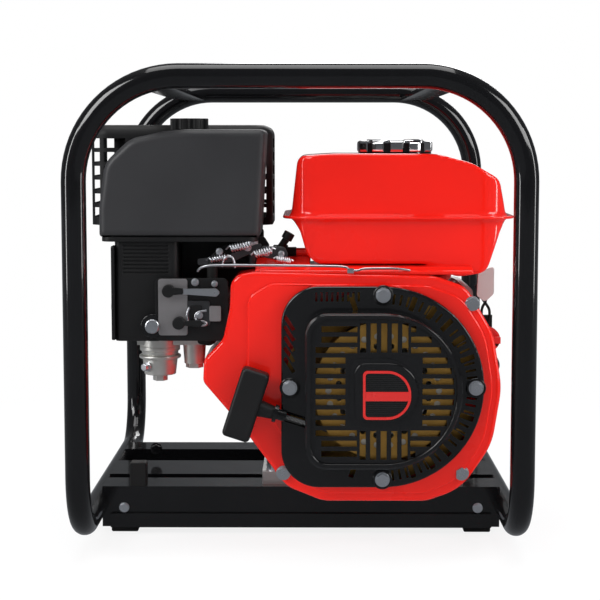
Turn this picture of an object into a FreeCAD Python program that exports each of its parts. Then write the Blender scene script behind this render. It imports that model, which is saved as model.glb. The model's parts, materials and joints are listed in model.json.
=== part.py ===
"""Portable fire pump: a single-cylinder recoil-start engine and a centrifugal pump in a tubular roll cage.

Row frame: X to the right seen from the starter side, Y from the starter towards the pump's suction port, Z up.
The origin is on the floor, under the middle of the roll cage. All sizes are in millimetres.
"""
import FreeCAD, Part
import math
import os

from FreeCAD import Vector

# ---------------------------------------------------------------- roll cage
FRAME_WIDTH = 400.0          # over the tubes
FRAME_LENGTH = 469.0         # over the tubes
FRAME_HEIGHT = 428.0         # floor to the top of the tubes
TUBE_D = 21.0
TUBE_WALL = 1.8
HOOP_CORNER_R = 88.0         # centreline radius of the upper corners
HOOP_FOOT_R = 50.0           # centreline radius where a leg turns into a floor rail
RAIL_Z = 27.5                # height of the floor rails' centreline
STRAP_WIDTH = 30.0
STRAP_THICK = 4.0
STRAP_INSET = 66.5           # from the rail's centreline to the strap's middle
STRAP_DROP = 7.0             # strap's middle below the top tubes' centreline
MEMBER_TOP = 44.0            # the faces that carry the engine and the pump
MEMBER_BOTTOM = 6.0
MEMBER_WALL = 3.0
FRONT_MEMBER_Y = (-105.0, -67.0)
MIDDLE_MEMBER_Y = (-50.0, 14.0)
REAR_MEMBER_Y = (72.0, 110.0)
LIP_HEIGHT = 13.0
LIP_THICK = 4.0
FOOT_X = 164.5
FOOT_WIDTH = 25.0
FOOT_BOLT_R = 2.5            # M5 screws that hold the feet
FOOT_BOLT_HEAD = 3.6
FOOT_BOLT_Z = MEMBER_BOTTOM + LIP_HEIGHT + 5.2

# ---------------------------------------------------------------- engine
CRANK_X = 72.0
CRANK_HEIGHT = 106.0         # crank axis above the engine's base
BASE_PLATE = 12.0            # thickness of the crankcase's base flange
BASE_X = (-36.0, 152.0)
BASE_Y = (-94.5, 2.0)
BASE_HOLE_X = (-24.0, 138.0)
BASE_HOLE_Y = (-86.0, -10.0)
CASE_Y = (-92.0, -8.0)       # front face and joint with the side cover
CASE_WALL = 6.0
PTO_Y = 22.0                 # machined face that carries the pump bracket
PTO_PCD = 92.08
CYLINDER_TILT = 25.0         # degrees above the horizontal, towards -X
CYLINDER_Y = -50.0
BORE_R = 34.0
STROKE = 45.0
ROD_LENGTH = 84.0
DECK = 131.0                 # crank axis to the head gasket
BARREL_R = 41.0
FIN_HALF = 47.0
HEAD_THICK = 38.0
SHAFT_R = 12.5
SHAFT_GAP = 0.05             # running clearance in the bearings
NOSE_R = 10.0                # both ends of the crankshaft
BEARING_R = 26.0
BEARING_WIDTH = 15.0
M8 = 4.0                     # bolt radius
M8_HOLE = M8 + 0.4           # clearance round an M8 bolt
M8_HEAD = 6.5                # half the width across the flats
M6 = 3.0
M6_HOLE = M6 + 0.3
M6_HEAD = 5.0

# ---------------------------------------------------------------- cooling fan and recoil starter
SHROUD_Y = (-170.0, -95.0)
SHROUD_WALL = 1.6
SHROUD_EDGE_R = 11.0
FAN_R = 84.0
FAN_BLADES = 20
FLYWHEEL_R = 74.0
STARTER_PCD_R = 81.0
STARTER_FLANGE = 1.6
COVER_R = 88.5               # recoil cover over its rim
COVER_CORNER_R = 33.0
COVER_RIM = 4.5
COVER_WALL = 2.4
PANEL_Y = -212.0             # front of the raised grille
PANEL_R = 67.5
PANEL_CORNER_R = 19.0
PANEL_DEPTH = 7.0
REEL_Y = -190.0              # middle of the rope groove
REEL_R = 50.0                # radius at which the rope leaves the reel
ROPE_D = 4.0
PULL_ANGLE = 18.0            # of the rope above the horizontal, towards -X
GRIP_R = 12.5
GRIP_LENGTH = 63.0

# ---------------------------------------------------------------- fuel tank
TANK_Y = (-152.0, 4.0)
TANK_SEAM_Z = 296.0
TANK_SEAM_LIP = 6.5
TANK_WALL = 1.5
TANK_TOP_Z = 353.0
TANK_BOTTOM_Z = 251.0
CAP_X = 87.0
CAP_Y = -75.0
CAP_R = 35.0
NECK_R = 27.0

# ---------------------------------------------------------------- intake, controls and exhaust
CLEANER_Y = (-155.0, -68.0)
CLEANER_Z = (279.0, 374.0)
CLEANER_WALL = 2.4
KNOB_X = -102.0
KNOB_Y = -96.0
KNOB_R = 17.5
DUCT_X = (-165.5, -109.0)
DUCT_Y = (-150.0, -96.0)
DUCT_Z = (186.0, 275.0)
DUCT_WALL = 2.5
PANEL_X = (-129.0, -64.0)
PANEL_Z = (187.0, 243.0)
CONTROL_Y = -156.0           # front face of the control panel
CONTROL_THICK = 2.0
BOWL_X = -128.5
STRAINER_X = -97.0
BOWL_R = 18.3
CARB_Y = -118.0
MUFFLER_X = (-181.0, -46.0)
MUFFLER_Y = (-32.0, 40.0)
MUFFLER_Z = (294.0, 368.0)
GUARD_X = (-199.0, -27.0)
GUARD_Y = (-62.0, 52.0)
GUARD_Z = (285.0, 379.0)
GUARD_PITCH = 13.0

# ---------------------------------------------------------------- pump
BRACKET_LENGTH = 30.0
CASING_R = 94.0
CASING_LENGTH = 84.0
CASING_WALL = 6.0
CASING_PCD = 176.0
SUCTION_R = 30.0             # outside of the two-inch port
SUCTION_BORE_R = 25.0
SUCTION_LENGTH = 58.0
IMPELLER_R = 62.0
IMPELLER_BLADES = 6
NECK_OUT_R = 30.0
HEAD_Z = 300.0               # axis of the two side outlets
OUTLET_R = 24.0
OUTLET_BORE_R = 19.0
OUTLET_REACH = 52.0          # from the head's middle to a port's end

# ---------------------------------------------------------------- derived places
RAIL_X = FRAME_WIDTH / 2 - TUBE_D / 2
HOOP_Y = FRAME_LENGTH / 2 - TUBE_D / 2
TOP_Z = FRAME_HEIGHT - TUBE_D / 2
CRANK_Z = MEMBER_TOP + CRANK_HEIGHT
TILT = math.radians(CYLINDER_TILT)
ALONG = Vector(-math.cos(TILT), 0, math.sin(TILT))     # crank axis towards the cylinder head
ACROSS = Vector(math.sin(TILT), 0, math.cos(TILT))     # square to it, towards the tank
PULL = Vector(-math.cos(math.radians(PULL_ANGLE)), 0, math.sin(math.radians(PULL_ANGLE)))
PULL_SIDE = Vector(-PULL.z, 0, PULL.x)                 # from the reel's middle to where the rope leaves it
CASING_Y = (PTO_Y + BRACKET_LENGTH, PTO_Y + BRACKET_LENGTH + CASING_LENGTH)
EAR_SPOTS = ((151.0, 222.0), (143.0, 71.0), (-15.0, 71.0))   # bolts of the fan shroud
SHROUD_OUTLINE = (
    (-61.0, 246.5, 14), (-40.0, 250.0, 30), (118.0, 246.5, 40), (146.0, 236.0, 20), (170.0, 196.0, 60),
    (178.0, 147.0, 70), (170.0, 96.0, 60), (143.0, 56.0, 50), (112.0, 45.0, 30), (20.0, 45.0, 30),
    (-12.0, 58.0, 25), (-52.0, 112.0, 30), (-86.0, 152.0, 9), (-85.0, 172.0, 9), (-68.0, 190.0, 16),
    (-62.0, 218.0, 20))
CASE_OUTLINE = (
    (-32.0, 44.5, 6), (152.0, 44.5, 6), (160.0, 90.0, 20), (162.0, 190.0, 20), (159.0, 230.0, 8),
    (140.0, 232.0, 6), (100.0, 236.0, 20), (30.0, 236.0, 20), (-6.0, 222.0, 10), (-4.0, 120.0, 20),
    (-32.0, 80.0, 12))


# ================================================================ shapes that the parts share
def box(x, y, z):
    """A block between the pairs x, y and z."""
    return Part.makeBox(x[1] - x[0], y[1] - y[0], z[1] - z[0], Vector(x[0], y[0], z[0]))


def rod(start, end, radius, end_radius=None):
    """A round bar, or a cone, from one point to another."""
    way = end - start
    if end_radius is None:
        return Part.makeCylinder(radius, way.Length, start, way)
    return Part.makeCone(radius, end_radius, way.Length, start, way)


def pipe(start, end, radius, bore):
    """A round bar with a hole right through it."""
    return rod(start, end, radius).cut(rod(start, end, bore))


def disc(x, z, y, radius, bore=0.0):
    """A round plate square to Y between the pair y."""
    start, end = Vector(x, y[0], z), Vector(x, y[1], z)
    return pipe(start, end, radius, bore) if bore else rod(start, end, radius)


def joined(first, *others):
    """All the shapes fused into one."""
    return first.multiFuse(list(others)).removeSplitter()


def group(shapes):
    """Separate solids that share one node."""
    return Part.makeCompound(list(shapes))


def corner_cuts(points):
    """For corners (a, b, radius): where each rounding starts, its middle and where it ends."""
    cuts = []
    for i, (a, b, radius) in enumerate(points):
        here = Vector(a, b, 0)
        before = Vector(points[i - 1][0], points[i - 1][1], 0)
        after = Vector(points[(i + 1) % len(points)][0], points[(i + 1) % len(points)][1], 0)
        to_before = (before - here).normalize()
        to_after = (after - here).normalize()
        half = to_before.getAngle(to_after) / 2
        if radius <= 0 or half > math.radians(89.5):
            cuts.append((here, here, here))
            continue
        reach = radius / math.tan(half)
        centre = here + (to_before + to_after).normalize() * (radius / math.sin(half))
        middle = centre + (here - centre).normalize() * radius
        cuts.append((here + to_before * reach, middle, here + to_after * reach))
    return cuts


def outline(points, place):
    """A closed wire with rounded corners; place puts a flat point (a, b) in space."""
    cuts = corner_cuts(points)
    edges = []
    for i, (start, middle, end) in enumerate(cuts):
        if (end - start).Length > 1e-6:
            edges.append(Part.Arc(place(start), place(middle), place(end)).toShape())
        following = cuts[(i + 1) % len(cuts)][0]
        if (following - end).Length > 1e-6:
            edges.append(Part.makeLine(place(end), place(following)))
    return Part.Wire(edges)


def facing(y):
    """Puts flat points (x, z) on the plane at y."""
    return lambda p: Vector(p.x, y, p.y)


def lying(z):
    """Puts flat points (x, y) on the plane at height z."""
    return lambda p: Vector(p.x, p.y, z)


def slab(points, y):
    """A plate with the outline (x, z, radius), between the pair y."""
    return Part.Face(outline(points, facing(y[0]))).extrude(Vector(0, y[1] - y[0], 0))


def tray(points, z):
    """A plate with the outline (x, y, radius), between the heights z."""
    return Part.Face(outline(points, lying(z[0]))).extrude(Vector(0, 0, z[1] - z[0]))


def inset_slab(points, y, inset):
    """A plate whose outline lies inside the given one by inset."""
    face = Part.Face(outline(points, facing(y[0]))).makeOffset2D(-inset)
    return face.extrude(Vector(0, y[1] - y[0], 0))


def oblong(x, y, radius):
    """A rounded rectangle's corners between the pairs x and y."""
    return ((x[0], y[0], radius), (x[1], y[0], radius), (x[1], y[1], radius), (x[0], y[1], radius))


def edges_on(shape, test):
    """The edges of a shape whose ends and middle all pass a test."""
    found = []
    for edge in shape.Edges:
        middle = edge.valueAt((edge.FirstParameter + edge.LastParameter) / 2)
        if all(test(p) for p in [v.Point for v in edge.Vertexes] + [middle]):
            found.append(edge)
    return found


def rounded_at(shape, radius, test):
    """The shape with the edges that pass a test rounded."""
    return shape.makeFillet(radius, edges_on(shape, test))


def on_y(y):
    return lambda p: abs(p.y - y) < 1e-4


def on_z(z):
    return lambda p: abs(p.z - z) < 1e-4


def bent_path(points, radii):
    """An open wire through points, rounded at each inner point with the radius given for it."""
    edges, last = [], points[0]
    for i in range(1, len(points) - 1):
        here, radius = points[i], radii[i - 1]
        back, ahead = (points[i - 1] - here).normalize(), (points[i + 1] - here).normalize()
        half = back.getAngle(ahead) / 2
        reach = radius / math.tan(half)
        centre = here + (back + ahead).normalize() * (radius / math.sin(half))
        middle = centre + (here - centre).normalize() * radius
        start, end = here + back * reach, here + ahead * reach
        if (start - last).Length > 1e-6:
            edges.append(Part.makeLine(last, start))
        edges.append(Part.Arc(start, middle, end).toShape())
        last = end
    edges.append(Part.makeLine(last, points[-1]))
    return Part.Wire(edges)


def swept(path, radius):
    """A round bar along a wire of straight runs and arcs, each run made on its own and then fused."""
    pieces = []
    for edge in path.Edges:
        start, end = edge.valueAt(edge.FirstParameter), edge.valueAt(edge.LastParameter)
        if isinstance(edge.Curve, Part.Circle):
            circle = Part.Wire(Part.makeCircle(radius, start, edge.tangentAt(edge.FirstParameter)))
            axis = edge.Curve.Axis
            turn = math.degrees(edge.LastParameter - edge.FirstParameter)
            pieces.append(Part.Face(circle).revolve(edge.Curve.Center, axis, turn))
        else:
            pieces.append(rod(start, end, radius))
    return joined(pieces[0], *pieces[1:]) if len(pieces) > 1 else pieces[0]


def largest(shape):
    """The biggest solid of a shape: what is left when a cut has freed small slivers."""
    return max(shape.Solids, key=lambda solid: solid.Volume)


def hex_head(at, way, half_flats, thick):
    """A hexagonal head that stands on at and points along way."""
    way = Vector(way).normalize()
    side = Vector(0, 0, 1) if abs(way.z) < 0.9 else Vector(1, 0, 0)
    a = way.cross(side).normalize()
    b = way.cross(a).normalize()
    reach = half_flats / math.cos(math.radians(30))
    turns = [math.radians(60 * k + 30) for k in range(7)]
    rim = [at + a * (reach * math.cos(t)) + b * (reach * math.sin(t)) for t in turns]
    return Part.Face(Part.makePolygon(rim)).extrude(way * thick)


def bolt(at, way, radius, half_flats, thick, length):
    """A hex bolt with a flanged washer face: its head stands on at, its shank runs the other way."""
    way = Vector(way).normalize()
    flange = rod(at, at + way * 1.5, half_flats * 1.3)
    return joined(rod(at - way * length, at, radius), flange, hex_head(at, way, half_flats, thick))


def on_cylinder(s, t=0.0, y=CYLINDER_Y):
    """A point at s along the cylinder's axis and t across it."""
    return Vector(CRANK_X, y, CRANK_Z) + ALONG * s + ACROSS * t


def cylinder_block(s, t, y):
    """A block between the pairs s along the cylinder, t across it, and y."""
    corners = [on_cylinder(s[i], t[j], y[0]) for i, j in ((0, 0), (1, 0), (1, 1), (0, 1))]
    return Part.Face(Part.makePolygon(corners + corners[:1])).extrude(Vector(0, y[1] - y[0], 0))


def around(x, z, radius, degrees):
    """A point (x, z) on a circle, the angle counted from +X towards +Z."""
    turn = math.radians(degrees)
    return x + radius * math.cos(turn), z + radius * math.sin(turn)


# ================================================================ roll cage
def hoop_wire(side):
    """The bent tube of one end: floor rail, leg, top, leg, floor rail; side is -1 (front) or 1 (rear)."""
    y = side * HOOP_Y
    points = [
        Vector(-RAIL_X, 0, RAIL_Z),
        Vector(-RAIL_X, y, RAIL_Z),
        Vector(-RAIL_X, y, TOP_Z),
        Vector(RAIL_X, y, TOP_Z),
        Vector(RAIL_X, y, RAIL_Z),
        Vector(RAIL_X, 0, RAIL_Z)]
    return bent_path(points, [HOOP_FOOT_R, HOOP_CORNER_R, HOOP_CORNER_R, HOOP_FOOT_R])


def make_hoop(side):
    wire = hoop_wire(side)
    return swept(wire, TUBE_D / 2).cut(swept(wire, TUBE_D / 2 - TUBE_WALL))


def make_top_straps():
    z = TOP_Z - STRAP_DROP
    straps = []
    for side in (-1, 1):
        middle = side * (RAIL_X - STRAP_INSET)
        x = (middle - STRAP_WIDTH / 2, middle + STRAP_WIDTH / 2)
        strap = box(x, (-HOOP_Y, HOOP_Y), (z - STRAP_THICK / 2, z + STRAP_THICK / 2))
        for end in (-1, 1):
            strap = strap.cut(swept(hoop_wire(end), TUBE_D / 2))
        straps.append(largest(strap))
    return group(straps)


def make_member(y, holes, lips):
    """An upturned channel between the floor rails, its ends coped to the tubes."""
    half = RAIL_X - TUBE_D / 2 + 6
    inner_y = (y[0] + MEMBER_WALL, y[1] - MEMBER_WALL)
    member = box((-half, half), y, (MEMBER_BOTTOM, MEMBER_TOP))
    member = member.cut(box((-half - 1, half + 1), inner_y, (MEMBER_BOTTOM - 1, MEMBER_TOP - MEMBER_WALL)))
    for side in lips:
        edge = y[0] - LIP_THICK if side < 0 else y[1]
        lip = box((-half + 8, half - 8), (edge, edge + LIP_THICK), (MEMBER_BOTTOM, MEMBER_BOTTOM + LIP_HEIGHT))
        member = member.fuse(lip)
    for rail in (-RAIL_X, RAIL_X):
        member = member.cut(rod(Vector(rail, y[0] - 9, RAIL_Z), Vector(rail, y[1] + 9, RAIL_Z), TUBE_D / 2))
    for x, hole_y in holes:
        member = member.cut(rod(Vector(x, hole_y, 0), Vector(x, hole_y, MEMBER_TOP + 1), M8_HOLE))
    return member.removeSplitter()


def foot_bolt_ends():
    """Where the foot bolts' heads stand: position and the way each head points."""
    spots = []
    for x in (-FOOT_X, FOOT_X):
        spots.append((Vector(x, FRONT_MEMBER_Y[0], FOOT_BOLT_Z), Vector(0, -1, 0)))
        spots.append((Vector(x, REAR_MEMBER_Y[1], FOOT_BOLT_Z), Vector(0, 1, 0)))
    return spots


def drill_foot_bolts(shape):
    for at, way in foot_bolt_ends():
        shape = shape.cut(rod(at + way * 2, at - way * 26, FOOT_BOLT_R))
    return shape


def engine_holes(y):
    return [(x, y) for x in BASE_HOLE_X]


def pump_holes():
    middle = (REAR_MEMBER_Y[0] + REAR_MEMBER_Y[1]) / 2
    return [(CRANK_X - 41, middle), (CRANK_X + 41, middle)]


def make_front_crossmember():
    return drill_foot_bolts(make_member(FRONT_MEMBER_Y, engine_holes(BASE_HOLE_Y[0]), [-1]))


def make_rear_crossmembers():
    """The member under the engine's rear bolts and the one under the pump."""
    middle = make_member(MIDDLE_MEMBER_Y, engine_holes(BASE_HOLE_Y[1]), [])
    return group([middle, drill_foot_bolts(make_member(REAR_MEMBER_Y, pump_holes(), [1]))])


def make_rubber_feet():
    feet = []
    for y in (FRONT_MEMBER_Y, REAR_MEMBER_Y):
        inner_y = (y[0] + MEMBER_WALL, y[1] - MEMBER_WALL)
        for x in (-FOOT_X, FOOT_X):
            span = (x - FOOT_WIDTH / 2, x + FOOT_WIDTH / 2)
            foot = box(span, inner_y, (0, MEMBER_TOP - MEMBER_WALL))
            feet.append(drill_foot_bolts(rounded_at(foot, 2, on_z(0))))
    return group(feet)


def base_bolts():
    bolts = []
    for x in BASE_HOLE_X:
        for y in BASE_HOLE_Y:
            at = Vector(x, y, MEMBER_TOP + BASE_PLATE)
            bolts.append(bolt(at, Vector(0, 0, 1), M8, M8_HEAD, 5.5, BASE_PLATE + 18))
    for x, y in pump_holes():
        bolts.append(bolt(Vector(x, y, MEMBER_TOP + BASE_PLATE), Vector(0, 0, 1), M8, M8_HEAD, 5.5, BASE_PLATE + 18))
    for at, way in foot_bolt_ends():
        bolts.append(bolt(at, way, FOOT_BOLT_R, FOOT_BOLT_HEAD, 2.5, 24))
    return bolts


# ================================================================ crankcase and cylinder
BEARING_SPOTS = ((-90.0, -90.0 + BEARING_WIDTH), (4.0, 4.0 + BEARING_WIDTH))
CASE_BOLTS = ((-24.0, 66.0), (3.0, 104.0), (8.0, 226.0), (66.0, 229.0), (150.0, 221.0), (153.0, 140.0),
              (146.0, 66.0))
DIP_START = Vector(149.0, -50.0, 64.0)
DIP_WAY = Vector(1, 0, 1).normalize()
DIP_NECK = 30.0
PLUG_AT = 144.0              # place of the spark plug along the cylinder
PLUG_WAY = Vector(0, 1, 0)
PLUG_SEAT = Vector(CRANK_X, CYLINDER_Y + FIN_HALF + 2, CRANK_Z) + ALONG * PLUG_AT
PIN_AT = STROKE / 2 + ROD_LENGTH


def case_hollow(y):
    return inset_slab(CASE_OUTLINE, y, CASE_WALL)


def make_crankcase():
    body = slab(CASE_OUTLINE, CASE_Y)
    barrel = rod(on_cylinder(70), on_cylinder(DECK), BARREL_R)
    body = body.fuse([barrel, box(BASE_X, (BASE_Y[0], CASE_Y[1]), (MEMBER_TOP, MEMBER_TOP + BASE_PLATE))])
    for k in range(6):
        s = 88.0 + 7.6 * k
        body = body.fuse(cylinder_block((s, s + 2.4), (-FIN_HALF, FIN_HALF), (-93, -8.5)))
    body = body.cut(case_hollow((CASE_Y[0] + CASE_WALL, CASE_Y[1] + 1)))
    body = body.fuse(box((BASE_X[0] + 8, BASE_X[1] - 2), (CASE_Y[0] + 2, CASE_Y[1]), (MEMBER_TOP, MEMBER_TOP + BASE_PLATE)))
    body = body.fuse(disc(CRANK_X, CRANK_Z, (CASE_Y[0], BEARING_SPOTS[0][1]), BEARING_R + 7))
    sleeve = rod(on_cylinder(76), on_cylinder(DECK), BORE_R + 4).common(slab(CASE_OUTLINE, CASE_Y))
    body = body.fuse(sleeve)
    for x, z in CASE_BOLTS:
        body = body.fuse(disc(x, z, (CASE_Y[1] - 30, CASE_Y[1]), 7.5).common(slab(CASE_OUTLINE, CASE_Y)))
    body = body.fuse(rod(DIP_START, DIP_START + DIP_WAY * DIP_NECK, 11))
    body = body.cut(rod(on_cylinder(50), on_cylinder(DECK + 1), BORE_R))
    body = body.cut(disc(CRANK_X, CRANK_Z, (BEARING_SPOTS[0][0], BEARING_SPOTS[0][1] + 1), BEARING_R))
    body = body.cut(disc(CRANK_X, CRANK_Z, (CASE_Y[0] - 1, BEARING_SPOTS[0][0]), SHAFT_R + 4))
    body = body.cut(rod(DIP_START - DIP_WAY * 14, DIP_START + DIP_WAY * (DIP_NECK + 1), 7))
    for x in BASE_HOLE_X:
        for y in BASE_HOLE_Y:
            body = body.cut(rod(Vector(x, y, MEMBER_TOP - 1), Vector(x, y, MEMBER_TOP + BASE_PLATE + 1), M8_HOLE))
            body = body.cut(rod(Vector(x, y, MEMBER_TOP + BASE_PLATE), Vector(x, y, 90), M8_HEAD * 1.5))
    for x, z in CASE_BOLTS:
        body = body.cut(disc(x, z, (CASE_Y[1] - 24, CASE_Y[1] + 1), M8))
    for x, z in EAR_SPOTS:
        body = body.cut(disc(x, z, (CASE_Y[0] - 1, CASE_Y[0] + 12), M6))
    for s, t in head_bolts():
        body = body.cut(rod(on_cylinder(DECK - 24, t, s), on_cylinder(DECK + 1, t, s), M8))
    return body.removeSplitter()


def head_bolts():
    """Head bolts as (y, t) around the bore."""
    return [(CYLINDER_Y + a, b) for a in (-36, 36) for b in (-40, 40)]


def make_crankcase_cover():
    cover = slab(CASE_OUTLINE, (CASE_Y[1], 6))
    cover = cover.cut(inset_slab(CASE_OUTLINE, (CASE_Y[1] - 1, 0), CASE_WALL + 9))
    cover = cover.fuse(disc(CRANK_X, CRANK_Z, (CASE_Y[1] + 2, PTO_Y), 58))
    for k in range(6):
        x, z = around(CRANK_X, CRANK_Z, 62, 60 * k + 15)
        cover = cover.fuse(disc(x, z, (0, 14), 5))
    cover = cover.cut(box((-60, 200), (CASE_Y[1] - 1, BASE_Y[1] + 0.5), (0, MEMBER_TOP + BASE_PLATE)))
    cover = cover.cut(disc(CRANK_X, CRANK_Z, (CASE_Y[1] - 1, BEARING_SPOTS[1][1]), BEARING_R))
    cover = cover.cut(disc(CRANK_X, CRANK_Z, (BEARING_SPOTS[1][1], PTO_Y + 1), SHAFT_R + 4))
    for x, z in CASE_BOLTS:
        cover = cover.cut(disc(x, z, (CASE_Y[1] - 1, 7), M8))
    for x, z in pto_bolts():
        cover = cover.cut(disc(x, z, (6, PTO_Y + 1), M8))
    for x in BASE_HOLE_X:
        cover = cover.cut(rod(Vector(x, BASE_HOLE_Y[1], 40), Vector(x, BASE_HOLE_Y[1], 90), M8_HEAD * 1.5))
    return cover.removeSplitter()


def pto_bolts():
    return [around(CRANK_X, CRANK_Z, PTO_PCD / 2, 45 + 90 * k) for k in range(4)]


def make_engine_bolts():
    """The flange bolts of the crankcase cover, the cylinder head, the fan shroud and the recoil starter."""
    bolts = [bolt(Vector(x, 6, z), Vector(0, 1, 0), M8, M8_HEAD, 5.5, 34) for x, z in CASE_BOLTS]
    bolts += [bolt(on_cylinder(DECK + 12, t, y), ALONG, M8, M8_HEAD, 5.5, 34) for y, t in head_bolts()]
    front = Vector(0, -1, 0)
    bolts += [bolt(Vector(x, SHROUD_Y[0], z), front, M6, M6_HEAD, 4, 88) for x, z in EAR_SPOTS]
    bolts += [bolt(Vector(x, COVER_BAND_Y, z), front, M6, M6_HEAD, 4, 26) for x, z in starter_bolt_spots()]
    return group(bolts)


def make_crank_bearings():
    rings = []
    for span in BEARING_SPOTS:
        ring = disc(CRANK_X, CRANK_Z, span, BEARING_R, SHAFT_R + SHAFT_GAP)
        for face in span:
            ring = ring.cut(disc(CRANK_X, CRANK_Z, (face - 1, face + 1), BEARING_R - 4, SHAFT_R + 4))
        rings.append(ring)
    return group(rings)


def make_cylinder_head():
    head = cylinder_block((DECK, DECK + 12), (-FIN_HALF, FIN_HALF), (-93, -7))
    head = head.fuse(cylinder_block((DECK + 10, DECK + HEAD_THICK), (-37, 37), (-86, -14)))
    for k in range(3):
        s = DECK + 16.5 + 7.6 * k
        head = head.fuse(cylinder_block((s, s + 2.4), (-FIN_HALF, FIN_HALF), (-93, -7)))
    head = head.fuse(rod(PLUG_SEAT - PLUG_WAY * 19, PLUG_SEAT, 12))
    port = Vector(INTAKE_PORT.x, INTAKE_PORT.y, INTAKE_PORT.z)
    boss = rod(port, port + Vector(0, 14, 0), 19)
    head = head.fuse(boss.common(cylinder_block((DECK, DECK + HEAD_THICK), (-70, 70), (-99, 0))))
    head = head.cut(rod(port - Vector(0, 1, 0), port + Vector(0, 26, 0), 10))
    allowed = cylinder_block((DECK, DECK + HEAD_THICK), (-70, 70), (-99, 0))
    head = head.fuse(exhaust_bar(15, 225, EXHAUST_Z).common(allowed))
    head = head.cut(exhaust_bar(9, 244, EXHAUST_Z + 1))
    head = head.cut(rod(on_cylinder(DECK - 1), on_cylinder(DECK + 7), 30, 22))
    head = head.cut(cylinder_block((DECK + HEAD_THICK - 14, DECK + HEAD_THICK + 1), (-26, 26), (-74, -26)))
    head = head.cut(rod(PLUG_SEAT - PLUG_WAY * 35, PLUG_SEAT + PLUG_WAY, 7))
    for y, t in head_bolts():
        head = head.cut(rod(on_cylinder(DECK - 1, t, y), on_cylinder(DECK + 13, t, y), M8))
        head = head.cut(rod(on_cylinder(DECK + 12, t, y), on_cylinder(DECK + 60, t, y), 9.6))
    return largest(head.removeSplitter())


def make_rocker_cover():
    s = DECK + HEAD_THICK
    cover = cylinder_block((s, s + 24), (-33, 33), (-82, -18))
    cover = cover.fuse(cylinder_block((s, s + 3), (-37, 37), (-86, -14)))
    cover = cover.cut(cylinder_block((s - 1, s + 22), (-31, 31), (-80, -20)))
    return joined(cover, rod(on_cylinder(s + 22), on_cylinder(s + 28), 7))


def make_spark_plug():
    seat, way = PLUG_SEAT, PLUG_WAY
    return joined(
        rod(seat - way * 32, seat, 7),
        rod(seat, seat + way * 2.5, 11),
        hex_head(seat + way * 2.5, way, 10.4, 9),
        rod(seat + way * 11.5, seat + way * 30, 6.0, 4.4),
        rod(seat + way * 30, seat + way * 35, 3))


def make_piston():
    crown = DECK - 1.0
    radius = BORE_R - SHAFT_GAP
    piston = rod(on_cylinder(crown - 38), on_cylinder(crown), radius)
    piston = piston.cut(rod(on_cylinder(crown - 39), on_cylinder(crown - 8), radius - 5))
    for y in (-77, -43):
        piston = piston.fuse(rod(on_cylinder(PIN_AT, 0, y), on_cylinder(PIN_AT, 0, y + 20), 13))
    piston = piston.common(rod(on_cylinder(crown - 38), on_cylinder(crown), radius))
    piston = piston.cut(rod(on_cylinder(PIN_AT, 0, -90), on_cylinder(PIN_AT, 0, -10), 8))
    for k in range(3):
        top = crown - 5 - 4.5 * k
        groove = pipe(on_cylinder(top - 1.8), on_cylinder(top), radius + 1, radius - 0.8)
        piston = piston.cut(groove)
    return piston.removeSplitter()


def make_piston_and_pin():
    return group([make_piston(), wrist_pin()])


def wrist_pin():
    return pipe(on_cylinder(PIN_AT, 0, -78), on_cylinder(PIN_AT, 0, -22), 8, 5)


def make_crankshaft():
    pin = on_cylinder(STROKE / 2, 0, 0)
    shaft = disc(CRANK_X, CRANK_Z, (-91, -62), SHAFT_R)
    shaft = shaft.fuse(disc(CRANK_X, CRANK_Z, (-38, 21), SHAFT_R))
    shaft = shaft.fuse(disc(CRANK_X, CRANK_Z, (-172, -91), NOSE_R))
    shaft = shaft.fuse(disc(CRANK_X, CRANK_Z, (21, SHAFT_END), NOSE_R))
    shaft = shaft.fuse(disc(pin.x, pin.z, (-63, -37), 15))
    away = on_cylinder(-24, 0, 0)
    for span in ((-73, -62), (-38, -27)):
        web = disc(pin.x, pin.z, span, 20).fuse(disc(CRANK_X, CRANK_Z, span, 24))
        counterweight = disc(away.x, away.z, span, 36).common(disc(CRANK_X, CRANK_Z, span, 44))
        shaft = shaft.fuse([web.common(disc(CRANK_X, CRANK_Z, span, 41)), counterweight])
    return shaft.removeSplitter()


def make_oil_dipstick():
    top = DIP_START + DIP_WAY * DIP_NECK
    cap = rod(top, top + DIP_WAY * 8, 12)
    for k in range(8):
        turn = math.radians(45 * k)
        side = Vector(0, 1, 0) * math.cos(turn) + Vector(-1, 0, 1).normalize() * math.sin(turn)
        cap = cap.cut(rod(top + side * 13 - DIP_WAY, top + side * 13 + DIP_WAY * 9, 2.4))
    return joined(cap, rod(top - DIP_WAY * 12, top, 6.9), rod(top - DIP_WAY * (DIP_NECK + 10), top, 2.5))


# ================================================================ flywheel, fan and ignition
def make_flywheel():
    wheel = disc(CRANK_X, CRANK_Z, (-128, -104), FLYWHEEL_R, NOSE_R)
    wheel = wheel.cut(disc(CRANK_X, CRANK_Z, (-118, -103), FLYWHEEL_R - 10, 22))
    for k in range(4):
        x, z = around(CRANK_X, CRANK_Z, 42, 90 * k + 45)
        wheel = wheel.cut(disc(x, z, (-129, -103), 10))
    return wheel


def make_cooling_fan():
    fan = disc(CRANK_X, CRANK_Z, (-131, -128), FAN_R - 2, 30)
    for k in range(FAN_BLADES):
        blade = box((CRANK_X + 50, CRANK_X + FAN_R - 2), (-150, -130), (CRANK_Z - 1.1, CRANK_Z + 1.1))
        blade.rotate(Vector(CRANK_X + 60, 0, CRANK_Z), Vector(0, 1, 0), 28)
        blade.rotate(Vector(CRANK_X, 0, CRANK_Z), Vector(0, 1, 0), 360.0 * k / FAN_BLADES)
        fan = fan.fuse(blade.common(disc(CRANK_X, CRANK_Z, (-151, -129), FAN_R)))
    return fan


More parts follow.
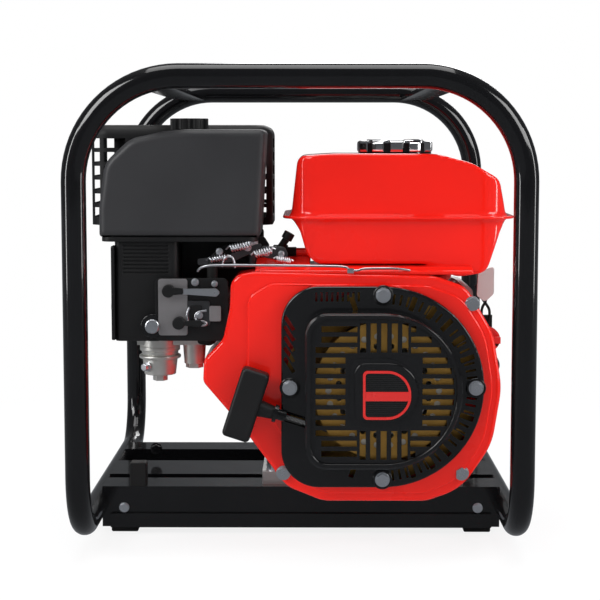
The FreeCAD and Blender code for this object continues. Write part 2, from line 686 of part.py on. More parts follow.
def make_starter_cup():
    cup = disc(CRANK_X, CRANK_Z, (-176, -150), 38, 36.4)
    cup = cup.fuse(disc(CRANK_X, CRANK_Z, (-152, -150), 37, NOSE_R))
    cup = cup.fuse(disc(CRANK_X, CRANK_Z, (-150, -128), 24, NOSE_R))
    for k in range(6):
        slot = box((CRANK_X + 30, CRANK_X + 45), (-170, -158), (CRANK_Z - 9, CRANK_Z + 9))
        slot.rotate(Vector(CRANK_X, 0, CRANK_Z), Vector(0, 1, 0), 60 * k)
        cup = cup.cut(slot)
    nut = hex_head(Vector(CRANK_X, -152, CRANK_Z), Vector(0, -1, 0), 14, 12)
    return joined(cup, nut.cut(disc(CRANK_X, CRANK_Z, (-170, -150), NOSE_R)))


COIL_ANGLE = 222.0


def make_ignition_coil():
    near = CRANK_X + FLYWHEEL_R + 0.6
    coil = box((near + 10, near + 30), (-128, -106), (CRANK_Z - 15, CRANK_Z + 15))
    for z in (-22, 15):
        coil = coil.fuse(box((near, near + 22), (-122, -110), (CRANK_Z + z, CRANK_Z + z + 7)))
    coil = coil.fuse(box((near + 14, near + 22), (-122, -110), (CRANK_Z - 22, CRANK_Z + 22)))
    for z in (-22, 15):
        coil = coil.fuse(disc(near + 14, CRANK_Z + z + 3.5, (-112, CASE_Y[0]), 5))
    coil.rotate(Vector(CRANK_X, 0, CRANK_Z), Vector(0, 1, 0), -COIL_ANGLE)
    return coil.removeSplitter()


def make_ignition_lead():
    seat, way = PLUG_SEAT, PLUG_WAY
    cap = rod(seat + way * 12, seat + way * 46, 9.5)
    cap = cap.cut(rod(seat + way * 11.5, seat + way * 30, 6.0, 4.4))
    cap = cap.cut(rod(seat + way * 29.9, seat + way * 35, 3))
    far = seat + way * 44
    start = Vector(around(CRANK_X, CRANK_Z, FLYWHEEL_R + 26, COIL_ANGLE)[0], -117, CRANK_Z - 64)
    points = [start + Vector(2, 0, 0), start + Vector(-12, 0, 12), Vector(-38, -84, 106), Vector(-46, -20, 112),
              Vector(-58, 44, 140), far + way * 26, far]
    lead = swept(bent_path(points, [5, 12, 24, 24, 12]), 3.5)
    return joined(cap, lead.cut(make_ignition_coil()))


# ================================================================ fan shroud and recoil starter
def make_fan_shroud():
    shroud = slab(SHROUD_OUTLINE, SHROUD_Y)
    shroud = rounded_at(shroud, 4, on_y(SHROUD_Y[0]))
    shroud = shroud.cut(inset_slab(SHROUD_OUTLINE, (SHROUD_Y[0] + SHROUD_WALL, SHROUD_Y[1] + 1), SHROUD_WALL))
    shroud = shroud.cut(disc(CRANK_X, CRANK_Z, (SHROUD_Y[0] - 1, SHROUD_Y[0] + 4), 74))
    for x, z in EAR_SPOTS:
        post = disc(x, z, (SHROUD_Y[0] + 1, CASE_Y[0]), 7.5).common(slab(SHROUD_OUTLINE, (SHROUD_Y[0], CASE_Y[0])))
        shroud = shroud.fuse(post)
        shroud = shroud.cut(disc(x, z, (SHROUD_Y[0] - 1, CASE_Y[0] + 1), M6))
    for x, z in starter_bolt_spots():
        shroud = shroud.cut(disc(x, z, (SHROUD_Y[0] - 1, SHROUD_Y[0] + 9), M6))
    return shroud.removeSplitter()


def starter_bolt_spots():
    return [around(CRANK_X, CRANK_Z, STARTER_PCD_R, 90 * k) for k in range(4)]


COVER_BAND_Y = -188.0
HOUSING_R = 60.0
HOUSING_FRONT = -205.0
POST_R = 8.0


def make_starter_housing():
    back = SHROUD_Y[0]
    housing = disc(CRANK_X, CRANK_Z, (HOUSING_FRONT, back), HOUSING_R)
    housing = housing.cut(disc(CRANK_X, CRANK_Z, (HOUSING_FRONT + STARTER_FLANGE, back + 1), HOUSING_R - STARTER_FLANGE))
    housing = housing.fuse(disc(CRANK_X, CRANK_Z, (back - STARTER_FLANGE, back), 85, HOUSING_R - STARTER_FLANGE))
    for k in range(12):
        slot = box((CRANK_X + 52, CRANK_X + 64), (-199, -177), (CRANK_Z - 6, CRANK_Z + 6))
        slot.rotate(Vector(CRANK_X, 0, CRANK_Z), Vector(0, 1, 0), 30 * k + 3)
        housing = housing.cut(slot)
    housing = housing.fuse(disc(CRANK_X, CRANK_Z, (HOUSING_FRONT, -177.5), POST_R))
    for x, z in starter_bolt_spots():
        housing = housing.cut(disc(x, z, (back - 5, back + 1), M6))
    housing = housing.cut(rope_line(22, 75, ROPE_D / 2 + 1))
    return housing.removeSplitter()


def rope_line(start, end, radius):
    """A bar along the rope's straight run, measured from where it leaves the reel."""
    origin = Vector(CRANK_X, REEL_Y, CRANK_Z) + PULL_SIDE * REEL_R
    return rod(origin + PULL * start, origin + PULL * end, radius)


def make_recoil_reel():
    reel = disc(CRANK_X, CRANK_Z, (-202, -178), 56)
    reel = reel.cut(disc(CRANK_X, CRANK_Z, (-194, -186), 60, REEL_R - ROPE_D / 2))
    reel = reel.cut(disc(CRANK_X, CRANK_Z, (-203, -183), 43, 14))
    return reel.cut(disc(CRANK_X, CRANK_Z, (-203, -177), POST_R + SHAFT_GAP))


def make_recoil_spring():
    """A flat strip wound in half turns whose radius grows."""
    turns = []
    radius = 15.5
    for k in range(16):
        shift = 0.75 if k % 2 else -0.75
        ring = disc(CRANK_X + shift, CRANK_Z, (-200, -186), radius + 0.35, radius - 0.35)
        z = (CRANK_Z, CRANK_Z + 60) if k % 2 == 0 else (CRANK_Z - 60, CRANK_Z)
        turns.append(ring.common(box((CRANK_X - 60, CRANK_X + 60), (-201, -185), z)))
        radius += 1.5
    return joined(turns[0], *turns[1:])


def dee(half, corner, left=None):
    """A D-shaped outline round the crank: a half circle on the right, a flat left side."""
    left = half if left is None else left
    x, z = (CRANK_X - left, CRANK_X + half), (CRANK_Z - half, CRANK_Z + half)
    arc = half * 0.9995
    return ((x[0], z[0], corner), (x[1], z[0], arc), (x[1], z[1], arc), (x[0], z[1], corner))


GRILLE_Y = (-210.0, -207.5)
HUB_HALF = 29.0


def grille_slots():
    """Boxes that open the raised panel: rows at both sides, columns above and below the boss."""
    slots = []
    for k in range(13):
        z = CRANK_Z - 54 + 9 * k
        reach = math.sqrt(max(0.0, (PANEL_R - 7) ** 2 - (z - CRANK_Z) ** 2))
        right = CRANK_X + (max(reach, 25))
        left = CRANK_X - PANEL_R + (9 if abs(z - CRANK_Z) < 45 else 14)
        inner = 33 if abs(z - CRANK_Z) < 32 else 23
        if right > CRANK_X + inner + 4:
            slots.append(box((CRANK_X + inner, right), (GRILLE_Y[0] - 1, GRILLE_Y[1] + 1), (z - 2.6, z + 2.6)))
        slots.append(box((left, CRANK_X - inner), (GRILLE_Y[0] - 1, GRILLE_Y[1] + 1), (z - 2.6, z + 2.6)))
    for k in range(5):
        x = CRANK_X - 18 + 9 * k
        for z in ((CRANK_Z + 34, CRANK_Z + 59), (CRANK_Z - 59, CRANK_Z - 34)):
            slots.append(box((x - 2.6, x + 2.6), (GRILLE_Y[0] - 1, GRILLE_Y[1] + 1), z))
    return slots


def make_recoil_cover():
    rim = dee(COVER_R, COVER_CORNER_R)
    raised = dee(PANEL_R, PANEL_CORNER_R)
    cover = slab(rim, (COVER_BAND_Y, SHROUD_Y[0]))
    cover = rounded_at(cover, 2.2, on_y(COVER_BAND_Y))
    cover = cover.cut(inset_slab(rim, (COVER_BAND_Y + COVER_WALL, SHROUD_Y[0] + 1), COVER_WALL))
    cover = cover.fuse(rounded_at(slab(raised, (PANEL_Y, COVER_BAND_Y + 1)), 1.6, on_y(PANEL_Y)))
    cover = cover.cut(inset_slab(raised, (PANEL_Y - 1, COVER_BAND_Y + COVER_WALL + 1), COVER_WALL + 1.2))
    cover = cover.fuse(inset_slab(raised, GRILLE_Y, COVER_WALL))
    cover = cover.fuse(slab(dee(HUB_HALF, 10), (PANEL_Y + 1, GRILLE_Y[1])))
    cover = cover.cut(grille_slots())
    for k in range(28):
        angle = 360.0 * k / 28 + 6.4
        if abs((angle + 45) % 90 - 45) < 8 or 120 < angle < 240:
            continue
        slot = box((CRANK_X + 71.5, CRANK_X + 84), (COVER_BAND_Y - 1, COVER_BAND_Y + 4), (CRANK_Z - 2.2, CRANK_Z + 2.2))
        slot.rotate(Vector(CRANK_X, 0, CRANK_Z), Vector(0, 1, 0), -angle)
        cover = cover.cut(slot)
    for x, z in starter_bolt_spots():
        cover = cover.fuse(disc(x, z, (COVER_BAND_Y + 0.5, SHROUD_Y[0] - STARTER_FLANGE), 6.2))
        cover = cover.cut(disc(x, z, (COVER_BAND_Y - 1, SHROUD_Y[0]), M6))
    cover = cover.cut(rope_line(50, 110, 5.0))
    flat = disc(CRANK_X, CRANK_Z, (SHROUD_Y[0] - STARTER_FLANGE, SHROUD_Y[0] + 1), 85)
    return joined(cover.cut(flat), rope_eyelet())


def rope_eyelet():
    left = (CRANK_X - COVER_R - (CRANK_X + PULL_SIDE.x * REEL_R)) / PULL.x
    eyelet = rope_line(left - 4, left + 7, 5.0).fuse(rope_line(left + 3.5, left + 7, 8.0))
    return eyelet.cut(rope_line(left - 10, left + 10, ROPE_D / 2 + 1.0)).removeSplitter()


GRIP_AT = 109.0              # grip's middle along the rope, from where the rope leaves the reel


def make_pull_grip():
    middle = Vector(CRANK_X, REEL_Y, CRANK_Z) + PULL_SIDE * REEL_R + PULL * GRIP_AT
    half = GRIP_LENGTH / 2
    grip = rod(middle - PULL_SIDE * (half - 6), middle + PULL_SIDE * (half - 6), GRIP_R)
    for side in (-1, 1):
        end = middle + PULL_SIDE * (side * (half - 6))
        grip = grip.fuse(rod(end, end + PULL_SIDE * (side * 6), GRIP_R, GRIP_R - 4))
    grip = grip.fuse(rod(middle - PULL * 19, middle - PULL * 6, 6.5, 9))
    return grip.cut(rope_line(GRIP_AT - 30, GRIP_AT - 4, ROPE_D / 2)).removeSplitter()


def make_pull_rope():
    middle = Vector(CRANK_X, REEL_Y, CRANK_Z)
    start = middle + PULL_SIDE * REEL_R
    straight = Part.makeLine(start, start + PULL * (GRIP_AT - 4))
    far = middle + PULL * (-REEL_R)
    ends = middle - PULL_SIDE * REEL_R
    coil = Part.Arc(ends, far, start).toShape()
    return swept(Part.Wire([coil, straight]), ROPE_D / 2)


# ================================================================ fuel system
TANK_FRONT = (
    (-1.0, TANK_SEAM_Z - 12, 12), (5.0, TANK_BOTTOM_Z + 11, 18), (14.0, TANK_BOTTOM_Z, 10),
    (164.0, TANK_BOTTOM_Z, 14), (179.0, TANK_SEAM_Z - 14, 30), (185.0, TANK_SEAM_Z, 6), (176.0, 329.0, 16),
    (154.0, 342.0, 26), (122.0, TANK_TOP_Z, 60), (30.0, TANK_TOP_Z, 60), (0.0, TANK_TOP_Z - 3, 11),
    (-9.0, TANK_SEAM_Z, 5))
TANK_FEET = ((34.0, -84.0), (34.0, -20.0), (132.0, -84.0), (132.0, -20.0))


def tank_solid(inset):
    """The tank's body, or its hollow when inset is the wall."""
    y = (TANK_Y[0] + 6.5 + inset, TANK_Y[1] - 6.5 - inset)
    body = inset_slab(TANK_FRONT, y, inset) if inset else slab(TANK_FRONT, y)
    plan = oblong((-9.5 + inset, 185.5 - inset), y, 26 - inset)
    return body.common(tray(plan, (TANK_BOTTOM_Z - 10, TANK_TOP_Z + 10)))


def make_fuel_tank():
    lip = tray(oblong((-16.0, 192.0), TANK_Y, 30), (TANK_SEAM_Z - 1.5, TANK_SEAM_Z + 1.5))
    tank = tank_solid(0).fuse(lip)
    for x, y in TANK_FEET:
        foot = rod(Vector(x, y, 225), Vector(x, y, TANK_BOTTOM_Z + 1), 8)
        tank = tank.fuse(foot.cut(slab(CASE_OUTLINE, (CASE_Y[0], 6))))
    tank = tank.fuse(rod(Vector(CAP_X, CAP_Y, TANK_TOP_Z - 10), Vector(CAP_X, CAP_Y, TANK_TOP_Z + 6), NECK_R))
    tank = tank.fuse(rod(Vector(-14, FUEL_OUT.y, FUEL_OUT.z), Vector(10, FUEL_OUT.y, FUEL_OUT.z), 4))
    tank = tank.cut(tank_solid(TANK_WALL))
    tank = tank.cut(rod(Vector(CAP_X, CAP_Y, TANK_TOP_Z - 12), Vector(CAP_X, CAP_Y, TANK_TOP_Z + 7), NECK_R - 2))
    tank = tank.cut(rod(Vector(-15, FUEL_OUT.y, FUEL_OUT.z), Vector(11, FUEL_OUT.y, FUEL_OUT.z), 2.4))
    return tank.removeSplitter()


def make_fuel_cap():
    z = TANK_TOP_Z + 0.6
    cap = rod(Vector(CAP_X, CAP_Y, z), Vector(CAP_X, CAP_Y, z + 12), CAP_R)
    cap = rounded_at(cap, 3, on_z(z + 12))
    for k in range(24):
        x = CAP_X + (CAP_R + 0.8) * math.cos(math.radians(15 * k))
        y = CAP_Y + (CAP_R + 0.8) * math.sin(math.radians(15 * k))
        cap = cap.cut(rod(Vector(x, y, z - 1), Vector(x, y, z + 9), 2.2))
    cap = cap.cut(rod(Vector(CAP_X, CAP_Y, z - 1), Vector(CAP_X, CAP_Y, z + 5.6), NECK_R + 0.4))
    plug = rod(Vector(CAP_X, CAP_Y, z - 5), Vector(CAP_X, CAP_Y, z + 7), NECK_R - 2.4)
    return joined(cap, plug)


FUEL_OUT = Vector(-14.0, -112.0, 263.0)
INTAKE_PORT = Vector(-88.0, -95.0, 205.0)


def make_fuel_line():
    points = [FUEL_OUT + Vector(10, 0, 0), FUEL_OUT - Vector(8, 0, 0), Vector(-79, -140, FUEL_OUT.z), Vector(-79, -140, 185),
              Vector(-90, -129, 185)]
    line = swept(bent_path(points, [8, 12, 6]), 4.8)
    line = line.cut(rod(Vector(-20, FUEL_OUT.y, FUEL_OUT.z), Vector(10, FUEL_OUT.y, FUEL_OUT.z), 4))
    return largest(line.cut(make_carburettor()).cut(make_fuel_tank()))


def make_fuel_strainer_cup():
    x = STRAINER_X
    cup = rod(Vector(x, CARB_Y, 162), Vector(x, CARB_Y, 180), 9.3, 10.5)
    return joined(cup, hex_head(Vector(x, CARB_Y, 162), Vector(0, 0, -1), 7, 4))


def make_carburettor():
    body = box((-148, -84), (CARB_Y - 13, CARB_Y + 13), (180, 190))
    throat = rod(Vector(-150, CARB_Y, 205), Vector(-106, CARB_Y, 205), 16)
    body = body.fuse([throat, box((-140, -112), (CARB_Y - 15, CARB_Y + 15), (188, 216))])
    body = body.fuse(rod(Vector(BOWL_X, CARB_Y, 178), Vector(BOWL_X, CARB_Y, 186), BOWL_R))
    body = body.fuse(rod(Vector(-114, CARB_Y - 4, 214), Vector(-114, CARB_Y - 4, 221), 4))
    body = body.fuse(make_intake_manifold())
    return body.cut(rod(Vector(-151, CARB_Y, 205), Vector(-105, CARB_Y, 205), 10))


def make_float_bowl():
    bowl = rod(Vector(BOWL_X, CARB_Y, 152), Vector(BOWL_X, CARB_Y, 178), BOWL_R - 4, BOWL_R - 1)
    bowl = bowl.fuse(rod(Vector(BOWL_X, CARB_Y, 174), Vector(BOWL_X, CARB_Y, 178), BOWL_R))
    bowl = bowl.cut(rod(Vector(BOWL_X, CARB_Y, 154), Vector(BOWL_X, CARB_Y, 179), BOWL_R - 6, BOWL_R - 2.5))
    bowl = bowl.fuse(rod(Vector(BOWL_X, CARB_Y, 152), Vector(BOWL_X, CARB_Y, 178), 4))
    return joined(bowl, hex_head(Vector(BOWL_X, CARB_Y, 152), Vector(0, 0, -1), 6, 6))


def make_intake_manifold():
    start = Vector(-106, CARB_Y, 205)
    points = [start, Vector(INTAKE_PORT.x, CARB_Y, 205), INTAKE_PORT]
    outer = swept(bent_path(points, [14]), 13)
    inner = swept(bent_path([start - Vector(1, 0, 0)] + points[1:2] + [INTAKE_PORT + Vector(0, 1, 0)], [14]), 10)
    flange = disc(INTAKE_PORT.x, INTAKE_PORT.z, (INTAKE_PORT.y - 4, INTAKE_PORT.y), 19)
    return outer.fuse(flange).cut(inner).removeSplitter()


def make_intake_duct():
    duct = box(DUCT_X, DUCT_Y, DUCT_Z)
    duct = duct.makeFillet(6, [e for e in duct.Edges if abs(e.tangentAt(e.FirstParameter).z) > 0.9])
    inner = box((DUCT_X[0] + DUCT_WALL, DUCT_X[1] - DUCT_WALL), (DUCT_Y[0] + DUCT_WALL, DUCT_Y[1] - DUCT_WALL),
                (225, DUCT_Z[1] + 1))
    duct = duct.cut(inner)
    duct = duct.cut(box((-150, 0), (DUCT_Y[0] + 4, 0), (DUCT_Z[0] - 1, 222)))
    duct = duct.cut(box((DUCT_X[0] + DUCT_WALL, -151.5), (CARB_Y - 14, CARB_Y + 14), (DUCT_Z[0] + 4, 232)))
    duct = duct.cut(rod(Vector(-160, CARB_Y, 205), Vector(-140, CARB_Y, 205), 10))
    for k in range(8):
        z = DUCT_Z[1] - 4 - 3.4 * k
        duct = duct.cut(box((DUCT_X[0] + 8, DUCT_X[1] - 8), (DUCT_Y[0] - 1, DUCT_Y[0] + 1.2), (z - 0.8, z + 0.8)))
    return duct.cut(box((-126.0, 0), (DUCT_Y[0] - 1, -96), (DUCT_Z[0] - 1, 190))).removeSplitter()


CLEANER_OUTLINE = (
    (-178.5, CLEANER_Z[0], 3), (-178.5, 305.0, 30), (-173.0, 345.0, 24), (-150.0, 366.0, 24), (-120.0, 372.5, 40),
    (-100.0, CLEANER_Z[1], 60), (-31.0, CLEANER_Z[1], 4), (-36.0, CLEANER_Z[0], 3))


def make_air_cleaner_base():
    y = (CLEANER_Y[0] + 2, CLEANER_Y[1] - 2)
    base = tray(oblong((-177.0, -38.0), y, 10), (275, CLEANER_Z[0]))
    rise = tray(oblong((-172.0, -42.0), (y[0] + 4, y[1] - 4), 8), (CLEANER_Z[0], CLEANER_Z[0] + 5))
    base = base.fuse([rise, rod(Vector(KNOB_X, KNOB_Y, 276), Vector(KNOB_X, KNOB_Y, CLEANER_Z[1] + 8), 3)])
    base = base.cut(box((-160, -118), (-142, -110), (274, 286)))
    strut = box((-70, -50), (CLEANER_Y[1] - 8, CLEANER_Y[1] - 4), (258, 276))
    return base.fuse(strut.cut(make_cylinder_head())).removeSplitter()


def make_air_filter_element():
    y = (CLEANER_Y[0] + 9, CLEANER_Y[1] - 9)
    outer = tray(oblong((-160.0, -48.0), y, 12), (CLEANER_Z[0] + 5, 352))
    inner = tray(oblong((-146.0, -62.0), (y[0] + 14, y[1] - 14), 8), (CLEANER_Z[0] + 4, 353))
    return outer.cut(inner)


def make_air_cleaner_cover():
    cover = slab(CLEANER_OUTLINE, CLEANER_Y)
    cover = rounded_at(cover, 7, lambda p: abs(p.y - CLEANER_Y[0]) < 1e-4 and p.z > CLEANER_Z[0] + 0.5)
    hollow = inset_slab(CLEANER_OUTLINE, (CLEANER_Y[0] + CLEANER_WALL, CLEANER_Y[1] - CLEANER_WALL), CLEANER_WALL)
    low = box((-175.7, -38.6), (CLEANER_Y[0] + CLEANER_WALL, CLEANER_Y[1] - CLEANER_WALL), (CLEANER_Z[0] - 1, 290))
    cover = cover.cut([hollow, low])
    return cover.cut(rod(Vector(KNOB_X, KNOB_Y, 350), Vector(KNOB_X, KNOB_Y, 380), 4)).removeSplitter()


def make_cover_knob():
    z = CLEANER_Z[1] + 0.3
    knob = rod(Vector(KNOB_X, KNOB_Y, z), Vector(KNOB_X, KNOB_Y, z + 10), KNOB_R)
    for k in range(9):
        x = KNOB_X + (KNOB_R + 1.5) * math.cos(math.radians(40 * k))
        y = KNOB_Y + (KNOB_R + 1.5) * math.sin(math.radians(40 * k))
        knob = knob.cut(rod(Vector(x, y, z - 1), Vector(x, y, z + 11), 4))
    return knob.cut(rod(Vector(KNOB_X, KNOB_Y, z - 1), Vector(KNOB_X, KNOB_Y, z + 8.5), 3.05))


# ================================================================ controls and governor
CHOKE_PIVOT = (-116.5, 232.0)
FUEL_PIVOT = (-108.0, 204.0)
THROTTLE_PIVOT = (-80.0, 206.0)


def make_control_bracket():
    y = (CONTROL_Y, CONTROL_Y + CONTROL_THICK)
    plate = slab(oblong(PANEL_X, PANEL_Z, 5), y).cut(slab(SHROUD_OUTLINE, SHROUD_Y))
    for z in ((PANEL_Z[0] + 12, PANEL_Z[0] + 22), (PANEL_Z[1] - 22, PANEL_Z[1] - 12)):
        plate = plate.fuse(box((-127, -118), (y[1], DUCT_Y[0]), z))
    for x, z in (CHOKE_PIVOT, FUEL_PIVOT):
        plate = plate.fuse(disc(x, z, (CONTROL_Y - 4.5, CONTROL_Y), 2.5))
    x, z = THROTTLE_PIVOT
    plate = plate.fuse(disc(x, z, (y[1], y[1] + 4.5), 2.5))
    return plate.removeSplitter()


def lever(pivot, y, length, degrees, half):
    """A flat lever with a round eye at the pivot and a bent tab at its end."""
    x, z = pivot
    end = around(x, z, length, degrees)
    arm = box((x, x + length), y, (z - half, z + half))
    arm.rotate(Vector(x, 0, z), Vector(0, 1, 0), -degrees)
    tab = disc(end[0], end[1], (y[0] - 7, y[1]), half)
    eye = disc(x, z, y, half + 2.5)
    return joined(eye, arm, tab).cut(disc(x, z, (y[0] - 9, y[1] + 1), 2.55))


def make_choke_lever():
    return lever(CHOKE_PIVOT, (CONTROL_Y - 2.4, CONTROL_Y - 0.4), 44, 358, 3.5)


def make_fuel_lever():
    return lever(FUEL_PIVOT, (CONTROL_Y - 2.4, CONTROL_Y - 0.4), 20, 350, 3.5)


def make_throttle_lever():
    y = (CONTROL_Y + CONTROL_THICK + 0.4, CONTROL_Y + CONTROL_THICK + 2.4)
    x, z = THROTTLE_PIVOT
    arm = box((x - 2, x + 2), y, (z, z + 26))
    return joined(disc(x, z, y, 6), arm, disc(x, z + 26, y, 4)).cut(disc(x, z, (y[0] - 1, y[1] + 1), 2.55))


GOVERNOR_ROD_R = 1.2
GOVERNOR_ENDS = ((-56.0, 243.5), (38.0, 241.0))


def make_governor_rod():
    """A thin rod held close in front of the shroud's upper edge, one end bent down and the other up."""
    left, right = GOVERNOR_ENDS
    y = SHROUD_Y[0] - GOVERNOR_ROD_R - 0.3
    points = [
        Vector(left[0], y, left[1] - 12),
        Vector(left[0], y, left[1]),
        Vector(right[0], y, right[1]),
        Vector(right[0], y, right[1] + 8)]
    return swept(bent_path(points, [3, 3]), GOVERNOR_ROD_R)


# ================================================================ exhaust
EXHAUST_X = -58.0
EXHAUST_Y = -24.0
EXHAUST_Z = 262.0            # joint face of the exhaust port


def exhaust_bar(radius, low, high):
    return rod(Vector(EXHAUST_X, EXHAUST_Y, low), Vector(EXHAUST_X, EXHAUST_Y, high), radius)


def make_muffler():
    shell = tray(oblong(MUFFLER_X, MUFFLER_Y, 16), MUFFLER_Z)
    shell = rounded_at(shell, 7, on_z(MUFFLER_Z[1]))
    inner = tray(oblong((MUFFLER_X[0] + 2, MUFFLER_X[1] - 2), (MUFFLER_Y[0] + 2, MUFFLER_Y[1] - 2), 14),
                 (MUFFLER_Z[0] + 2, MUFFLER_Z[1] - 2))
    shell = shell.cut(rounded_at(inner, 6, on_z(MUFFLER_Z[1] - 2)))
    flange = exhaust_bar(17, EXHAUST_Z, EXHAUST_Z + 5)
    shell = shell.fuse([exhaust_bar(11, EXHAUST_Z, MUFFLER_Z[0] + 4), flange])
    outlet = rod(Vector(-150, MUFFLER_Y[1] - 1, 345), Vector(-150, MUFFLER_Y[1] + 8, 345), 9)
    shell = shell.fuse(outlet).cut(exhaust_bar(9, EXHAUST_Z - 1, MUFFLER_Z[0] + 5))
    return shell.cut(rod(Vector(-150, MUFFLER_Y[1] - 4, 345), Vector(-150, MUFFLER_Y[1] + 9, 345), 7)).removeSplitter()


GUARD_COLUMNS = ((GUARD_X[0] + 3, GUARD_X[0] + 9.5), (GUARD_X[0] + 13.5, GUARD_X[0] + 34),
                 (GUARD_X[0] + 38, -118), (-108, GUARD_X[1] - 24), (GUARD_X[1] - 18, GUARD_X[1] - 6))


def make_muffler_guard():
    guard = tray(oblong(GUARD_X, GUARD_Y, 18), GUARD_Z)
    guard = rounded_at(guard, 10, on_z(GUARD_Z[1]))
    wall = 1.6
    inner = tray(oblong((GUARD_X[0] + wall, GUARD_X[1] - wall), (GUARD_Y[0] + wall, GUARD_Y[1] - wall), 17),
                 (GUARD_Z[0] - 1, GUARD_Z[1] - wall))
    inner = rounded_at(inner, 9, on_z(GUARD_Z[1] - wall))
    guard = guard.cut(inner)
    rows = int((GUARD_Z[1] - GUARD_Z[0] - 24) / GUARD_PITCH)
    for k in range(rows + 1):
        z = GUARD_Z[0] + 12 + GUARD_PITCH * k
        span = (z - 4.6, z + 4.6)
        for x in GUARD_COLUMNS:
            guard = guard.cut(box(x, (GUARD_Y[0] - 1, GUARD_Y[1] + 1), span))
        guard = guard.cut(box((GUARD_X[0] - 1, GUARD_X[1] + 1), (GUARD_Y[0] + 24, GUARD_Y[1] - 24), span))
    for k in range(5):
        y = GUARD_Y[0] + 25 + GUARD_PITCH * 1.25 * k
        guard = guard.cut(box((GUARD_X[0] + 24, GUARD_X[1] - 24), (y - 2.6, y + 2.6), (370, 390)))
    for x in (MUFFLER_X[0] + 22, MUFFLER_X[1] - 22):
        for y in ((GUARD_Y[0] + wall, MUFFLER_Y[0]), (MUFFLER_Y[1], GUARD_Y[1] - wall)):
            guard = guard.fuse(box((x - 6, x + 6), y, (GUARD_Z[0] + 16, GUARD_Z[0] + 19)))
    return guard.removeSplitter()


# ================================================================ stop switch
SWITCH_AT = Vector(176.0, -64.0, 178.0)
KNOB_WAY = Vector(0.5, -0.866, 0)


def make_stop_switch_body():
    plate = box((160.5, 181), (-62, -59), (158, 200))
    body = rod(SWITCH_AT + Vector(0, 2, 0), SWITCH_AT + Vector(0, 26, 0), 9.5)
    body = body.fuse([plate, box((160, 170), (-59, -30), (166, 190))])
    return body.cut(slab(CASE_OUTLINE, (CASE_Y[0], 6))).removeSplitter()


def make_stop_switch_knob():
    knob = rod(SWITCH_AT + Vector(0, 1.7, 0), SWITCH_AT - Vector(0, 9, 0), 11.5)
    bar = box((SWITCH_AT.x - 11, SWITCH_AT.x + 11), (SWITCH_AT.y - 17, SWITCH_AT.y - 8), (SWITCH_AT.z - 3, SWITCH_AT.z + 3))
    return joined(knob, bar)


# ================================================================ pump
SEAL_Y = (44.0, 51.6)
IMPELLER_Y = (60.0, 92.0)
SHAFT_END = IMPELLER_Y[1] + 4.0
SUCTION_END = CASING_Y[1] + SUCTION_LENGTH
FLAP_HINGE = (CASING_Y[1] - CASING_WALL - 4.0, CRANK_Z + 33.0)


def make_pump_bracket():
    middle = (PTO_Y + CASING_Y[0]) / 2
    bracket = disc(CRANK_X, CRANK_Z, (PTO_Y, PTO_Y + 9), 60)
    bracket = bracket.fuse(disc(CRANK_X, CRANK_Z, (CASING_Y[0] - 8, CASING_Y[0]), CASING_R))
    bracket = bracket.fuse(disc(CRANK_X, CRANK_Z, (middle - 12, CASING_Y[0]), 26))
    for k in range(4):
        rib = box((CRANK_X + 24, CRANK_X + 58), (PTO_Y + 8, CASING_Y[0] - 7), (CRANK_Z - 4, CRANK_Z + 4))
        rib.rotate(Vector(CRANK_X, 0, CRANK_Z), Vector(0, 1, 0), 90 * k)
        bracket = bracket.fuse(rib)
    bracket = bracket.cut(disc(CRANK_X, CRANK_Z, (PTO_Y - 1, CASING_Y[0] + 1), NOSE_R + 3))
    bracket = bracket.cut(disc(CRANK_X, CRANK_Z, (PTO_Y - 1, PTO_Y + 4), SHAFT_R + 4))
    bracket = bracket.cut(disc(CRANK_X, CRANK_Z, (SEAL_Y[0], CASING_Y[0] + 1), 19))
    for x, z in pto_bolts():
        bracket = bracket.cut(disc(x, z, (PTO_Y - 1, CASING_Y[0] - 8), M8))
    for x, z in casing_bolts():
        bracket = bracket.cut(disc(x, z, (PTO_Y, CASING_Y[0] + 1), M8))
    seat = disc(CRANK_X, CRANK_Z, SEAL_Y, 19, NOSE_R + 2)
    return joined(bracket, seat)


def casing_bolts():
    return [around(CRANK_X, CRANK_Z, CASING_PCD / 2 - 5, 45 + 90 * k) for k in range(4)]


def make_mechanical_seal():
    ring = disc(CRANK_X, CRANK_Z, (SEAL_Y[1] + 0.3, IMPELLER_Y[0]), 17, NOSE_R)
    return ring.cut(disc(CRANK_X, CRANK_Z, (54, 57), 18, 13))


def make_impeller():
    wheel = disc(CRANK_X, CRANK_Z, (IMPELLER_Y[0], IMPELLER_Y[0] + 5), IMPELLER_R, NOSE_R)
    wheel = wheel.fuse(disc(CRANK_X, CRANK_Z, IMPELLER_Y, 15, NOSE_R))
    for k in range(IMPELLER_BLADES):
        blade = box((CRANK_X + 12, CRANK_X + IMPELLER_R), (IMPELLER_Y[0] + 4, IMPELLER_Y[1]), (CRANK_Z - 2, CRANK_Z + 2))
        blade.rotate(Vector(CRANK_X + 14, 0, CRANK_Z), Vector(0, 1, 0), 24)
        blade.rotate(Vector(CRANK_X, 0, CRANK_Z), Vector(0, 1, 0), 360.0 * k / IMPELLER_BLADES)
        wheel = wheel.fuse(blade.common(disc(CRANK_X, CRANK_Z, IMPELLER_Y, IMPELLER_R, NOSE_R)))
    nut = hex_head(Vector(CRANK_X, IMPELLER_Y[1], CRANK_Z), Vector(0, 1, 0), 9.5, 8)
    return joined(wheel, nut.cut(disc(CRANK_X, CRANK_Z, (IMPELLER_Y[1] - 1, SHAFT_END), NOSE_R)))


